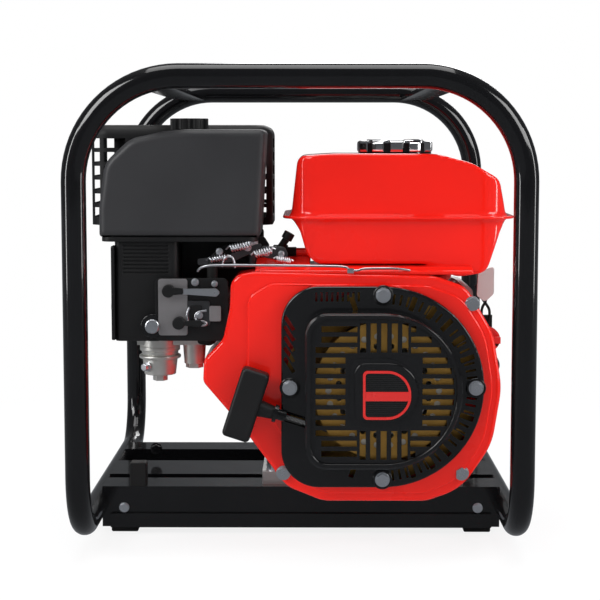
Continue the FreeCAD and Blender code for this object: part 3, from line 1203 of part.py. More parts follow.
def make_pump_casing():
    inner_r = CASING_R - CASING_WALL
    casing = disc(CRANK_X, CRANK_Z, CASING_Y, CASING_R)
    casing = casing.fuse(box((CRANK_X - 53, CRANK_X + 53), REAR_MEMBER_Y, (MEMBER_TOP, 90)))
    middle = (REAR_MEMBER_Y[0] + REAR_MEMBER_Y[1]) / 2 + 3
    neck = rod(Vector(CRANK_X, middle, CRANK_Z + 60), Vector(CRANK_X, middle, 264), NECK_OUT_R)
    casing = casing.fuse(neck)
    for x, z in casing_bolts():
        casing = casing.fuse(disc(x, z, CASING_Y, 9))
    casing = casing.cut(disc(CRANK_X, CRANK_Z, (CASING_Y[0] - 1, CASING_Y[1] - CASING_WALL), inner_r))
    casing = casing.cut(rod(Vector(CRANK_X, middle, CRANK_Z + 40), Vector(CRANK_X, middle, 265), NECK_OUT_R - 5))
    casing = casing.cut(disc(CRANK_X, CRANK_Z, (CASING_Y[1] - 9, CASING_Y[1] + 1), SUCTION_BORE_R + 1))
    x, z = CRANK_X, FLAP_HINGE[1]
    for side in (-1, 1):
        lug = box((x + side * 14 - 3, x + side * 14 + 3), (FLAP_HINGE[0] - 4, CASING_Y[1] - 5), (z - 4, z + 4))
        casing = casing.fuse(lug)
    casing = casing.fuse(rod(Vector(x - 14, FLAP_HINGE[0], z), Vector(x + 14, FLAP_HINGE[0], z), 2))
    for x, y in pump_holes():
        casing = casing.cut(rod(Vector(x, y, MEMBER_TOP - 1), Vector(x, y, MEMBER_TOP + BASE_PLATE + 1), M8))
        pocket = rod(Vector(x, y, MEMBER_TOP + BASE_PLATE), Vector(x, y, 140), M8_HEAD * 1.6)
        casing = casing.cut(pocket.cut(disc(CRANK_X, CRANK_Z, CASING_Y, CASING_R)))
    for x, z in casing_bolts():
        casing = casing.cut(disc(x, z, (CASING_Y[0] - 1, CASING_Y[0] + 26), M8))
    drain = Vector(CRANK_X, DRAIN_Y, CRANK_Z - CASING_R + 1)
    plug = joined(rod(drain - Vector(0, 0, 2), drain, 9), hex_head(drain - Vector(0, 0, 2), Vector(0, 0, -1), 8, 5))
    return joined(casing, plug)


DRAIN_Y = CASING_Y[1] - 14.0


def make_check_valve_flap():
    y, z = FLAP_HINGE
    face = CASING_Y[1] - CASING_WALL - 0.3
    flap = disc(CRANK_X, CRANK_Z, (face - 4, face), SUCTION_BORE_R + 3)
    flap = flap.fuse(box((CRANK_X - 9, CRANK_X + 9), (face - 4, face), (CRANK_Z + 20, z)))
    flap = flap.fuse(rod(Vector(CRANK_X - 9, y, z), Vector(CRANK_X + 9, y, z), 3.9))
    return flap.cut(rod(Vector(CRANK_X - 10, y, z), Vector(CRANK_X + 10, y, z), 2.08)).removeSplitter()


def make_suction_flange():
    start = CASING_Y[1]
    port = disc(CRANK_X, CRANK_Z, (start, SUCTION_END), SUCTION_R - 1)
    port = port.fuse(disc(CRANK_X, CRANK_Z, (start, start + 10), 52))
    for k in range(8):
        y = SUCTION_END - 4 - 3.2 * k
        port = port.fuse(disc(CRANK_X, CRANK_Z, (y - 1.3, y), SUCTION_R))
    port = port.cut(disc(CRANK_X, CRANK_Z, (start - 1, SUCTION_END + 1), SUCTION_BORE_R))
    for x, z in suction_bolts():
        port = port.cut(disc(x, z, (start - 1, start + 11), M8))
    return port.removeSplitter()


def suction_bolts():
    return [around(CRANK_X, CRANK_Z, 42, 45 + 90 * k) for k in range(4)]


def make_base_and_pump_bolts():
    """The flange bolts of the engine's base, the feet and the pump."""
    bolts = base_bolts()
    for x, z in pto_bolts():
        bolts.append(bolt(Vector(x, PTO_Y + 9, z), Vector(0, 1, 0), M8, M8_HEAD, 5.5, 18))
    for x, z in casing_bolts():
        bolts.append(bolt(Vector(x, CASING_Y[0] - 8, z), Vector(0, -1, 0), M8, M8_HEAD, 5.5, 26))
    for x, z in suction_bolts():
        bolts.append(bolt(Vector(x, CASING_Y[1] + 10, z), Vector(0, 1, 0), M8, M8_HEAD, 5.5, 10))
    return group(bolts)


HEAD_Y = (REAR_MEMBER_Y[0] + REAR_MEMBER_Y[1]) / 2 + 3
OUTLET_WAYS = (Vector(-1, 0, 0), Vector(1, 0, 0), Vector(0, 1, 0))


def make_discharge_head():
    centre = Vector(CRANK_X, HEAD_Y, HEAD_Z)
    base = Vector(CRANK_X, HEAD_Y, 264)
    head = rod(base, centre + Vector(0, 0, 28), NECK_OUT_R)
    head = head.fuse(rod(base, base + Vector(0, 0, 8), NECK_OUT_R + 6))
    bore = rod(base - Vector(0, 0, 1), centre + Vector(0, 0, 23), NECK_OUT_R - 5)
    for way in OUTLET_WAYS:
        end = centre + way * OUTLET_REACH
        head = head.fuse(rod(centre, end, OUTLET_R - 1))
        for k in range(4):
            ring = end - way * (3 + 3.2 * k)
            head = head.fuse(rod(ring - way * 1.3, ring, OUTLET_R))
        bore = bore.fuse(rod(centre, end + way, OUTLET_BORE_R))
    bore = bore.fuse(rod(centre, centre + Vector(0, 0, 40), 12))
    return head.cut(bore).removeSplitter()


def make_outlet_cap(way):
    end = Vector(CRANK_X, HEAD_Y, HEAD_Z) + way * OUTLET_REACH
    cap = rod(end - way * 15, end + way * 4.5, OUTLET_R + 5)
    cap = cap.cut(rod(end - way * 16, end + way * 0.3, OUTLET_R + 0.4))
    for k in range(4):
        side = Vector(0, 0, 1) * math.cos(math.radians(90 * k)) + way.cross(Vector(0, 0, 1)) * math.sin(math.radians(90 * k))
        cap = cap.fuse(rod(end - way * 11 + side * (OUTLET_R + 3), end - way * 1 + side * (OUTLET_R + 3), 4.5))
        cap = cap.cut(rod(end - way * 16, end + way * 0.3, OUTLET_R + 0.4))
    return cap.removeSplitter()


def make_prime_plug():
    top = Vector(CRANK_X, HEAD_Y, HEAD_Z + 28.3)
    plug = rod(top, top + Vector(0, 0, 7), 18)
    return joined(plug, rod(top - Vector(0, 0, 7), top, 11.95), hex_head(top + Vector(0, 0, 7), Vector(0, 0, 1), 9, 8))


# ================================================================ every node and its file
NODES = (
    ("front_hoop", lambda: make_hoop(-1)),
    ("rear_hoop", lambda: make_hoop(1)),
    ("top_straps", make_top_straps),
    ("front_crossmember", make_front_crossmember),
    ("rear_crossmembers", make_rear_crossmembers),
    ("rubber_feet", make_rubber_feet),
    ("crankcase", make_crankcase),
    ("crankcase_cover", make_crankcase_cover),
    ("engine_bolts", make_engine_bolts),
    ("base_and_pump_bolts", make_base_and_pump_bolts),
    ("crank_bearings", make_crank_bearings),
    ("crankshaft", make_crankshaft),
    ("piston_and_pin", make_piston_and_pin),
    ("cylinder_head", make_cylinder_head),
    ("rocker_cover", make_rocker_cover),
    ("spark_plug", make_spark_plug),
    ("ignition_coil", make_ignition_coil),
    ("ignition_lead", make_ignition_lead),
    ("oil_dipstick", make_oil_dipstick),
    ("flywheel", make_flywheel),
    ("cooling_fan", make_cooling_fan),
    ("starter_cup", make_starter_cup),
    ("fan_shroud", make_fan_shroud),
    ("starter_housing", make_starter_housing),
    ("recoil_cover", make_recoil_cover),
    ("recoil_reel", make_recoil_reel),
    ("recoil_spring", make_recoil_spring),
    ("pull_rope", make_pull_rope),
    ("pull_grip", make_pull_grip),
    ("fuel_tank", make_fuel_tank),
    ("fuel_cap", make_fuel_cap),
    ("fuel_line", make_fuel_line),
    ("fuel_strainer_cup", make_fuel_strainer_cup),
    ("carburettor", make_carburettor),
    ("float_bowl", make_float_bowl),
    ("intake_duct", make_intake_duct),
    ("air_cleaner_base", make_air_cleaner_base),
    ("air_filter_element", make_air_filter_element),
    ("air_cleaner_cover", make_air_cleaner_cover),
    ("cover_knob", make_cover_knob),
    ("control_bracket", make_control_bracket),
    ("choke_lever", make_choke_lever),
    ("fuel_lever", make_fuel_lever),
    ("throttle_lever", make_throttle_lever),
    ("governor_rod", make_governor_rod),
    ("muffler", make_muffler),
    ("muffler_guard", make_muffler_guard),
    ("stop_switch_body", make_stop_switch_body),
    ("stop_switch_knob", make_stop_switch_knob),
    ("pump_bracket", make_pump_bracket),
    ("mechanical_seal", make_mechanical_seal),
    ("impeller", make_impeller),
    ("pump_casing", make_pump_casing),
    ("check_valve_flap", make_check_valve_flap),
    ("suction_flange", make_suction_flange),
    ("discharge_head", make_discharge_head),
    ("left_outlet_cap", lambda: make_outlet_cap(OUTLET_WAYS[0])),
    ("right_outlet_cap", lambda: make_outlet_cap(OUTLET_WAYS[1])),
    ("rear_outlet_cap", lambda: make_outlet_cap(OUTLET_WAYS[2])),
    ("prime_plug", make_prime_plug),
)

os.makedirs("parts", exist_ok=True)
for name, make in NODES:
    shape = make()
    if not shape.isValid() or not shape.Solids:
        raise ValueError(name + " isn't a valid solid")
    shape.exportStep("parts/" + name + ".step")
    print(name, len(shape.Solids), [round(v, 1) for v in (
        shape.BoundBox.XMin, shape.BoundBox.XMax, shape.BoundBox.YMin, shape.BoundBox.YMax,
        shape.BoundBox.ZMin, shape.BoundBox.ZMax)])
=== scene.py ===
import json
import math

import bpy
from bpy.props import FloatProperty, FloatVectorProperty, PointerProperty
from mathutils import Matrix, Vector

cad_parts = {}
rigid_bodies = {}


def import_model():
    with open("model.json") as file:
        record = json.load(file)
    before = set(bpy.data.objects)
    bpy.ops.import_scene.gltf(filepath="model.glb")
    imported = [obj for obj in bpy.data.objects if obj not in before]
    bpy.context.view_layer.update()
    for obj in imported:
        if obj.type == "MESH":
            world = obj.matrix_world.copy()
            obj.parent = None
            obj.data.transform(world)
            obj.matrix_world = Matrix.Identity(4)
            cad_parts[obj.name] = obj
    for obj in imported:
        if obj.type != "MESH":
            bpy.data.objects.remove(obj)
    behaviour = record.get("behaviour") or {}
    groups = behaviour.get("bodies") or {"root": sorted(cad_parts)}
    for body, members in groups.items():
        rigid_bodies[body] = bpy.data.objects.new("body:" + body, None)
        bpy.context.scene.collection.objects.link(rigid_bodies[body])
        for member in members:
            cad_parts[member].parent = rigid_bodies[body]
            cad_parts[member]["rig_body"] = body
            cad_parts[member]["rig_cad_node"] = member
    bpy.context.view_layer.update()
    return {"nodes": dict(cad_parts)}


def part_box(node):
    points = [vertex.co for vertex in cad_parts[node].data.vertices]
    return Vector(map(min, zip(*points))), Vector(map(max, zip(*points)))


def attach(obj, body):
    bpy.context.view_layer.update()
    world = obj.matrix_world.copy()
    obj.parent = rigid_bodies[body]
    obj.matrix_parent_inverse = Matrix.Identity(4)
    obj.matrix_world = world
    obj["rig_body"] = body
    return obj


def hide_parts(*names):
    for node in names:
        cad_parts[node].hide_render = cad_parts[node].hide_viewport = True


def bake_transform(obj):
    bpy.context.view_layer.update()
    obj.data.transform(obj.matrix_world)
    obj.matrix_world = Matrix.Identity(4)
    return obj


bl_info = {
    "name": "Portable fire pump",
    "version": (1, 0, 0),
    "blender": (4, 5, 0),
    "location": "3D View > Sidebar > Fire Pump",
    "description": "Finishes a recoil-start fire pump in a tubular roll cage over its measured frame",
    "category": "Object",
}

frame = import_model()
MM = 0.001


# ------------------------------------------------------------------ places from the frame, and shared numbers
def high(node):
    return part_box(node)[1]


def middle(node):
    a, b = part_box(node)
    return (a + b) / 2


def body_of(node):
    return frame["nodes"][node]["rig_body"]


CRANK = middle("flywheel")          # the crank axis runs along Y through this point
ROPE_PLANE = -0.190                 # Y at which the rope leaves its reel
REEL_RADIUS = 0.050                 # middle of the rope on the reel
ROPE_RISE = 18                      # degrees by which the rope climbs towards the grip
CAP_X, CAP_Y = 87, -75              # millimetres: the axis of the tank's neck and cap
GREY, TINT = (0.9, 0.9, 0.9, 1), (0.9, 0.94, 1.0, 1)


# ------------------------------------------------------------------ settings a user would change
def colour_setting(name, description, default):
    return FloatVectorProperty(name=name, description=description, default=default, min=0, max=1,
                               subtype="COLOR")


def length_setting(name, description, default, smallest, largest):
    return FloatProperty(name=name, description=description, default=default, min=smallest, max=largest,
                         unit="LENGTH")


class PumpColours(bpy.types.PropertyGroup):
    tank_red: colour_setting(
        "Body red", "Gloss paint of the tank and the fan shroud", (0.78, 0.012, 0.006))
    cage_black: colour_setting(
        "Cage black", "Gloss paint of the roll cage", (0.003, 0.003, 0.0035))
    cover_grey: colour_setting(
        "Cover grey", "Moulded plastic of the air cleaner cover", (0.030, 0.030, 0.032))
    brass_gold: colour_setting(
        "Screen gold", "Passivated screen behind the recoil grille", (0.58, 0.32, 0.07))
    zinc_pale: colour_setting(
        "Cast zinc", "Bare die-cast metal of the crankcase and the pump", (0.55, 0.55, 0.54))


class PumpSizes(bpy.types.PropertyGroup):
    edge_round: length_setting(
        "Edge rounding", "Radius on the edges of castings and pressings", 0.0006, 0.0001, 0.002)
    bolt_round: length_setting(
        "Bolt rounding", "Radius on the edges of bolt heads", 0.0008, 0.0001, 0.001)
    rope_diameter: length_setting(
        "Rope diameter", "Diameter of the braided starter rope", 0.004, 0.002, 0.006)
    floor_size: length_setting(
        "Floor size", "Side of the pale floor", 14.0, 4, 40)
    lamp_strength: FloatProperty(
        name="Lamp strength", description="Power of the key softbox in watts", default=26.0, min=1, max=200)


def colours():
    return bpy.context.scene.pump_colours


def sizes():
    return bpy.context.scene.pump_sizes


# ------------------------------------------------------------------ modelling by hand, in code
def clear():
    """Nothing is selected and nothing is in edit mode."""
    if bpy.context.mode != "OBJECT":
        bpy.ops.object.mode_set(mode="OBJECT")
    bpy.ops.object.select_all(action="DESELECT")


def only(obj):
    clear()
    obj.select_set(True)
    bpy.context.view_layer.objects.active = obj
    return obj


def added(name):
    """Names the primitive that was just added."""
    obj = bpy.context.object
    obj.name = name
    obj.data.name = name
    return obj


def settle(obj):
    """Puts the piece's place into its mesh, so its object stands at the origin."""
    only(obj)
    bpy.ops.object.transform_apply(location=True, rotation=True, scale=True)
    return obj


def block(name, lo, hi):
    clear()
    lo, hi = Vector(lo), Vector(hi)
    bpy.ops.mesh.primitive_cube_add(size=1, location=(lo + hi) / 2)
    obj = added(name)
    obj.scale = hi - lo
    return settle(obj)


def towards(way):
    """The turn that takes +Z to way."""
    return Vector(way).normalized().to_track_quat("Z", "Y").to_euler()


def drum(name, start, end, radius, sides=48, end_radius=None):
    """A round bar or a cone between two points."""
    clear()
    start, end = Vector(start), Vector(end)
    if end_radius is None:
        bpy.ops.mesh.primitive_cylinder_add(vertices=sides, radius=radius, depth=(end - start).length,
                                            location=(start + end) / 2, rotation=towards(end - start))
    else:
        bpy.ops.mesh.primitive_cone_add(vertices=sides, radius1=radius, radius2=end_radius,
                                        depth=(end - start).length, location=(start + end) / 2,
                                        rotation=towards(end - start))
    return settle(added(name))


def ring(name, at, way, radius, thick, sides=64, small=16):
    clear()
    bpy.ops.mesh.primitive_torus_add(location=at, rotation=towards(way), major_radius=radius,
                                     minor_radius=thick, major_segments=sides, minor_segments=small)
    return settle(added(name))


def edit(obj, kind="FACE"):
    only(obj)
    bpy.ops.object.mode_set(mode="EDIT")
    bpy.ops.mesh.select_mode(type=kind)
    bpy.ops.mesh.select_all(action="DESELECT")


def done():
    bpy.ops.object.mode_set(mode="OBJECT")


def modify(obj, kind, **values):
    """Adds a modifier, sets it and applies it."""
    only(obj)
    modifier = obj.modifiers.new(kind.title(), kind)
    for key, value in values.items():
        setattr(modifier, key, value)
    bpy.ops.object.modifier_apply(modifier=modifier.name)
    return obj


def rounded(obj, width, segments=2, angle=35):
    modify(obj, "BEVEL", width=width, segments=segments, limit_method="ANGLE",
           angle_limit=math.radians(angle), harden_normals=False, use_clamp_overlap=True)
    return obj


def smooth(obj, angle=35):
    only(obj)
    bpy.ops.object.shade_smooth_by_angle(angle=math.radians(angle))
    modify(obj, "WEIGHTED_NORMAL", keep_sharp=True, weight=80)
    return obj


def cut(obj, *tools):
    """Takes the tools out of the piece and removes them."""
    for tool in tools:
        modify(obj, "BOOLEAN", operation="DIFFERENCE", object=tool, solver="EXACT")
        bpy.data.objects.remove(tool)
    return obj


def union(obj, *tools):
    for tool in tools:
        modify(obj, "BOOLEAN", operation="UNION", object=tool, solver="EXACT")
        bpy.data.objects.remove(tool)
    return obj


def together(name, pieces):
    """Joins several pieces into one object."""
    clear()
    for piece in pieces:
        piece.select_set(True)
    bpy.context.view_layer.objects.active = pieces[0]
    bpy.ops.object.join()
    return added(name)


def turned(obj, name, pivot, axis, degrees):
    """A copy with a mesh of its own, turned about an axis through pivot."""
    copy = obj.copy()
    copy.data = obj.data.copy()
    copy.name = name
    bpy.context.scene.collection.objects.link(copy)
    pivot = Vector(pivot)
    copy.matrix_world = (Matrix.Translation(pivot) @ Matrix.Rotation(math.radians(degrees), 4, Vector(axis))
                         @ Matrix.Translation(-pivot))
    return settle(copy)


def paint(obj, *materials):
    obj.data.materials.clear()
    for material in materials:
        obj.data.materials.append(material)
    return obj


def place(obj, body, *nodes, slot=None):
    """Rides the finished piece on its body and lets it stand for its CAD nodes."""
    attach(obj, body)
    if nodes:
        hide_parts(*nodes)
    return obj


def softened(node, name, material, width=None, segments=2, angle=30, dissolve=0.6):
    """A merged copy of a CAD node with its edges rounded, in place of the node."""
    obj = frame["nodes"][node]
    copy = obj.copy()
    copy.data = obj.data.copy()
    copy.name = name
    copy.parent = None
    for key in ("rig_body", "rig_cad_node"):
        if key in copy:
            del copy[key]
    bpy.context.scene.collection.objects.link(copy)
    edit(copy, "VERT")
    bpy.ops.mesh.select_all(action="SELECT")
    bpy.ops.mesh.remove_doubles(threshold=0.000005)
    bpy.ops.mesh.dissolve_limited(angle_limit=math.radians(dissolve))
    done()
    if width is None:
        width = sizes().edge_round
    if width:
        rounded(copy, width, segments, angle)
    smooth(copy, 40)
    paint(copy, material)
    return place(copy, body_of(node), node)


# ------------------------------------------------------------------ finishes
def tree_group(name, inputs, outputs):
    """An empty shader group with named sockets and its two end nodes."""
    group = bpy.data.node_groups.new(name, "ShaderNodeTree")
    for label, kind, value in inputs:
        socket = group.interface.new_socket(name=label, in_out="INPUT", socket_type=kind)
        if value is not None:
            socket.default_value = value
    for label, kind in outputs:
        group.interface.new_socket(name=label, in_out="OUTPUT", socket_type=kind)
    start = group.nodes.new("NodeGroupInput")
    end = group.nodes.new("NodeGroupOutput")
    return group, start, end


FLOAT, COLOUR, VECTOR = "NodeSocketFloat", "NodeSocketColor", "NodeSocketVector"


def noise(tree, vector, scale, detail=4.0, roughness=0.55):
    node = tree.nodes.new("ShaderNodeTexNoise")
    node.inputs["Detail"].default_value = detail
    node.inputs["Roughness"].default_value = roughness
    tree.links.new(vector, node.inputs["Vector"])
    if isinstance(scale, float):
        node.inputs["Scale"].default_value = scale
    else:
        tree.links.new(scale, node.inputs["Scale"])
    return node.outputs["Fac"]


def ranged(tree, value, from_low, from_high, to_low, to_high):
    node = tree.nodes.new("ShaderNodeMapRange")
    ends = {"From Min": from_low, "From Max": from_high, "To Min": to_low, "To Max": to_high}
    for key, number in ends.items():
        node.inputs[key].default_value = number
    tree.links.new(value, node.inputs["Value"])
    return node.outputs["Result"]


def maths(tree, operation, a, b):
    node = tree.nodes.new("ShaderNodeMath")
    node.operation = operation
    for socket, value in zip(node.inputs, (a, b)):
        if isinstance(value, (int, float)):
            socket.default_value = value
        else:
            tree.links.new(value, socket)
    return node.outputs["Value"]


def mixed(tree, factor, a, b):
    """Mixes two colours by a factor."""
    node = tree.nodes.new("ShaderNodeMix")
    node.data_type = "RGBA"
    tree.links.new(factor, node.inputs["Factor"])
    for socket, value in ((node.inputs[6], a), (node.inputs[7], b)):
        if isinstance(value, (tuple, list)):
            socket.default_value = (*value[:3], 1)
        else:
            tree.links.new(value, socket)
    return node.outputs[2]


def make_mottle():
    """Slow changes of tone, as paint and plastic have."""
    group, start, end = tree_group(
        "tone_mottle",
        [("Vector", VECTOR, None), ("Scale", FLOAT, 20.0), ("Amount", FLOAT, 0.5),
         ("Light", COLOUR, (1, 1, 1, 1)), ("Dark", COLOUR, (0, 0, 0, 1))],
        [("Color", COLOUR), ("Mask", FLOAT)])
    field = noise(group, start.outputs["Vector"], start.outputs["Scale"])
    mask = ranged(group, field, 0.2, 0.8, 0.0, 1.0)
    factor = maths(group, "MULTIPLY", mask, start.outputs["Amount"])
    node = mixed(group, factor, start.outputs["Light"], start.outputs["Dark"])
    group.links.new(node, end.inputs["Color"])
    group.links.new(mask, end.inputs["Mask"])
    return group


def make_grain():
    """Fine unevenness of a surface: orange peel, moulding grain or cast skin."""
    group, start, end = tree_group(
        "surface_grain",
        [("Vector", VECTOR, None), ("Fine", FLOAT, 900.0), ("Coarse", FLOAT, 120.0), ("Blend", FLOAT, 0.5)],
        [("Height", FLOAT)])
    fine = noise(group, start.outputs["Vector"], start.outputs["Fine"], 2.0)
    coarse = noise(group, start.outputs["Vector"], start.outputs["Coarse"], 3.0)
    node = group.nodes.new("ShaderNodeMix")
    group.links.new(start.outputs["Blend"], node.inputs["Factor"])
    group.links.new(coarse, node.inputs[2])
    group.links.new(fine, node.inputs[3])
    group.links.new(node.outputs[0], end.inputs["Height"])
    return group


def make_settled_dust():
    """A thin film that lies on faces that look up."""
    group, start, end = tree_group(
        "settled_dust", [("Vector", VECTOR, None), ("Amount", FLOAT, 0.2)], [("Mask", FLOAT)])
    geometry = group.nodes.new("ShaderNodeNewGeometry")
    split = group.nodes.new("ShaderNodeSeparateXYZ")
    group.links.new(geometry.outputs["Normal"], split.inputs[0])
    up = ranged(group, split.outputs["Z"], 0.5, 1.0, 0.0, 1.0)
    cloud = ranged(group, noise(group, start.outputs["Vector"], 60.0), 0.35, 0.75, 0.2, 1.0)
    mask = maths(group, "MULTIPLY", maths(group, "MULTIPLY", up, cloud), start.outputs["Amount"])
    group.links.new(mask, end.inputs["Mask"])
    return group


def shared(name):
    """The named effect, built the first time it is asked for."""
    makers = {"tone_mottle": make_mottle, "surface_grain": make_grain, "settled_dust": make_settled_dust}
    return bpy.data.node_groups.get(name) or makers[name]()


def effect(tree, name, vector, **values):
    node = tree.nodes.new("ShaderNodeGroup")
    node.node_tree = shared(name)
    tree.links.new(vector, node.inputs["Vector"])
    for key, value in values.items():
        node.inputs[key].default_value = value
    return node


def finish(name, colour, rough, metal=0.0, coat=0.0, coat_rough=0.05, specular=0.5, spread=0.25, tone=18.0,
           fine=900.0, coarse=120.0, blend=0.5, bump=0.05, depth=0.0002, dust=0.0, rough_spread=0.06):
    """A finish with tone, roughness and grain that change over the surface."""
    known = bpy.data.materials.get(name)
    if known:
        return known
    material = bpy.data.materials.new(name)
    material.use_nodes = True
    tree = material.node_tree
    shader = tree.nodes["Principled BSDF"]
    vector = tree.nodes.new("ShaderNodeTexCoord").outputs["Object"]
    light = tuple(min(1.0, c * (1 + spread * 0.5)) for c in colour)
    dark = tuple(c * (1 - spread * 0.5) for c in colour)
    mottle = effect(tree, "tone_mottle", vector, Scale=tone, Amount=1.0, Light=(*light, 1), Dark=(*dark, 1))
    base = mottle.outputs["Color"]
    roughness = ranged(tree, mottle.outputs["Mask"], 0.0, 1.0, max(0.02, rough - rough_spread),
                       min(1.0, rough + rough_spread))
    if dust:
        film = effect(tree, "settled_dust", vector, Amount=dust)
        base = mixed(tree, film.outputs["Mask"], base, (0.45, 0.43, 0.40))
        roughness = maths(tree, "ADD", roughness, maths(tree, "MULTIPLY", film.outputs["Mask"], 0.3))
    grain = effect(tree, "surface_grain", vector, Fine=fine, Coarse=coarse, Blend=blend)
    bumped = tree.nodes.new("ShaderNodeBump")
    bumped.inputs["Strength"].default_value = bump
    bumped.inputs["Distance"].default_value = depth
    tree.links.new(grain.outputs["Height"], bumped.inputs["Height"])
    tree.links.new(base, shader.inputs["Base Color"])
    tree.links.new(roughness, shader.inputs["Roughness"])
    tree.links.new(bumped.outputs["Normal"], shader.inputs["Normal"])
    shader.inputs["Metallic"].default_value = metal
    shader.inputs["Coat Weight"].default_value = coat
    shader.inputs["Coat Roughness"].default_value = coat_rough
    shader.inputs["Specular IOR Level"].default_value = specular
    return material


def body_red():
    return finish("body_red_gloss", colours().tank_red, 0.3, coat=1.0, coat_rough=0.05, specular=0.08,
                  spread=0.08, bump=0.04, fine=420.0, coarse=90.0, depth=0.0001)


def cage_black():
    return finish("cage_black_gloss", colours().cage_black, 0.22, coat=1.0, coat_rough=0.06, specular=0.08,
                  spread=0.5, bump=0.08, fine=380.0, coarse=110.0, depth=0.00015, dust=0.03)


def gloss_black():
    return finish("moulded_black_gloss", (0.004, 0.004, 0.0045), 0.2, coat=1.0, coat_rough=0.09,
                  specular=0.08, spread=0.4, bump=0.06, dust=0.02)


def matt_black():
    return finish("moulded_black_matt", (0.009, 0.009, 0.0095), 0.42, specular=0.26, spread=0.4,
                  fine=1600.0, coarse=420.0, bump=0.35, depth=0.0001, dust=0.03)


def cover_grey():
    return finish("cover_grey_grained", colours().cover_grey, 0.42, specular=0.28, spread=0.2, fine=1900.0,
                  coarse=600.0, bump=0.4, depth=0.00008, dust=0.04)


def soft_rubber():
    return finish("soft_rubber", (0.009, 0.009, 0.009), 0.65, specular=0.22, spread=0.4, fine=1400.0,
                  coarse=300.0, bump=0.3, depth=0.0001, dust=0.08)


def cast_alloy():
    return finish("cast_alloy", colours().zinc_pale, 0.46, metal=0.9, spread=0.22, tone=35.0, fine=1200.0,
                  coarse=320.0, bump=0.55, depth=0.0002, dust=0.04)


def zinc_casting():
    return finish("zinc_casting", (0.80, 0.79, 0.75), 0.4, metal=0.9, spread=0.25, tone=60.0, fine=1500.0,
                  coarse=420.0, bump=0.35, depth=0.00012)


def plated_steel():
    return finish("plated_steel", (0.80, 0.82, 0.86), 0.3, metal=1.0, spread=0.18, tone=90.0, fine=2400.0,
                  coarse=700.0, bump=0.2, depth=0.00005)


def dark_steel():
    return finish("dark_steel", (0.10, 0.10, 0.105), 0.38, metal=0.9, spread=0.4, tone=60.0, bump=0.25)


def bright_chrome():
    return finish("bright_chrome", (0.78, 0.78, 0.79), 0.09, metal=1.0, spread=0.06, bump=0.03,
                  rough_spread=0.03)


def screen_gold():
    return finish("screen_gold", colours().brass_gold, 0.34, metal=0.75, spread=0.3, tone=50.0, bump=0.2)


def ground_steel():
    return finish("ground_steel", (0.55, 0.55, 0.56), 0.2, metal=1.0, spread=0.15, tone=120.0, fine=2600.0,
                  bump=0.2, depth=0.00004)


def heat_black():
    return finish("heat_proof_black", (0.007, 0.007, 0.0075), 0.5, specular=0.22, spread=0.5, tone=40.0,
                  fine=1100.0, coarse=260.0, bump=0.35, depth=0.00012, dust=0.05)


def signal_red():
    return finish("signal_red_plastic", (0.70, 0.012, 0.010), 0.3, coat=0.3, spread=0.12, bump=0.08)


def filter_foam():
    return finish("filter_foam", (0.30, 0.27, 0.10), 0.9, spread=0.4, tone=200.0, fine=2200.0, coarse=900.0,
                  bump=0.9, depth=0.0006)


def iron_casting():
    return finish("iron_casting", (0.17, 0.17, 0.17), 0.5, metal=0.8, spread=0.35, tone=45.0, fine=900.0,
                  coarse=260.0, bump=0.6, depth=0.0003)


def badge_red():
    return finish("badge_red", (0.50, 0.012, 0.010), 0.28, coat=0.5, spread=0.1, bump=0.05)


def brushed_grey():
    return finish("brushed_grey_plate", (0.24, 0.23, 0.235), 0.42, metal=0.55, spread=0.2, tone=70.0,
                  fine=2200.0, coarse=500.0, bump=0.3, depth=0.00008)


def pale_grey():
    return finish("pale_grey_moulding", (0.50, 0.49, 0.48), 0.5, spread=0.15, bump=0.15)


def pale_nylon():
    return finish("pale_nylon", (0.62, 0.60, 0.54), 0.42, spread=0.12, bump=0.12)


def braided_rope():
    """Diagonal bands of paler strand colour over the dark rope finish."""
    known = bpy.data.materials.get("braided_rope")
    if known:
        return known
    material = finish("braided_rope", (0.03, 0.03, 0.032), 0.8, spread=0.4, bump=0.6, fine=2400.0,
                      coarse=900.0, depth=0.0003)
    tree = material.node_tree
    wave = tree.nodes.new("ShaderNodeTexWave")
    wave.bands_direction = "DIAGONAL"
    wave.inputs["Scale"].default_value = 260.0
    coordinate = tree.nodes.new("ShaderNodeTexCoord").outputs["Object"]
    tree.links.new(coordinate, wave.inputs["Vector"])
    old = tree.nodes["Principled BSDF"].inputs["Base Color"].links[0].from_socket
    blended = mixed(tree, ranged(tree, wave.outputs["Fac"], 0.3, 0.7, 0.0, 0.6), old, (0.16, 0.16, 0.16))
    tree.links.new(blended, tree.nodes["Principled BSDF"].inputs["Base Color"])
    return material


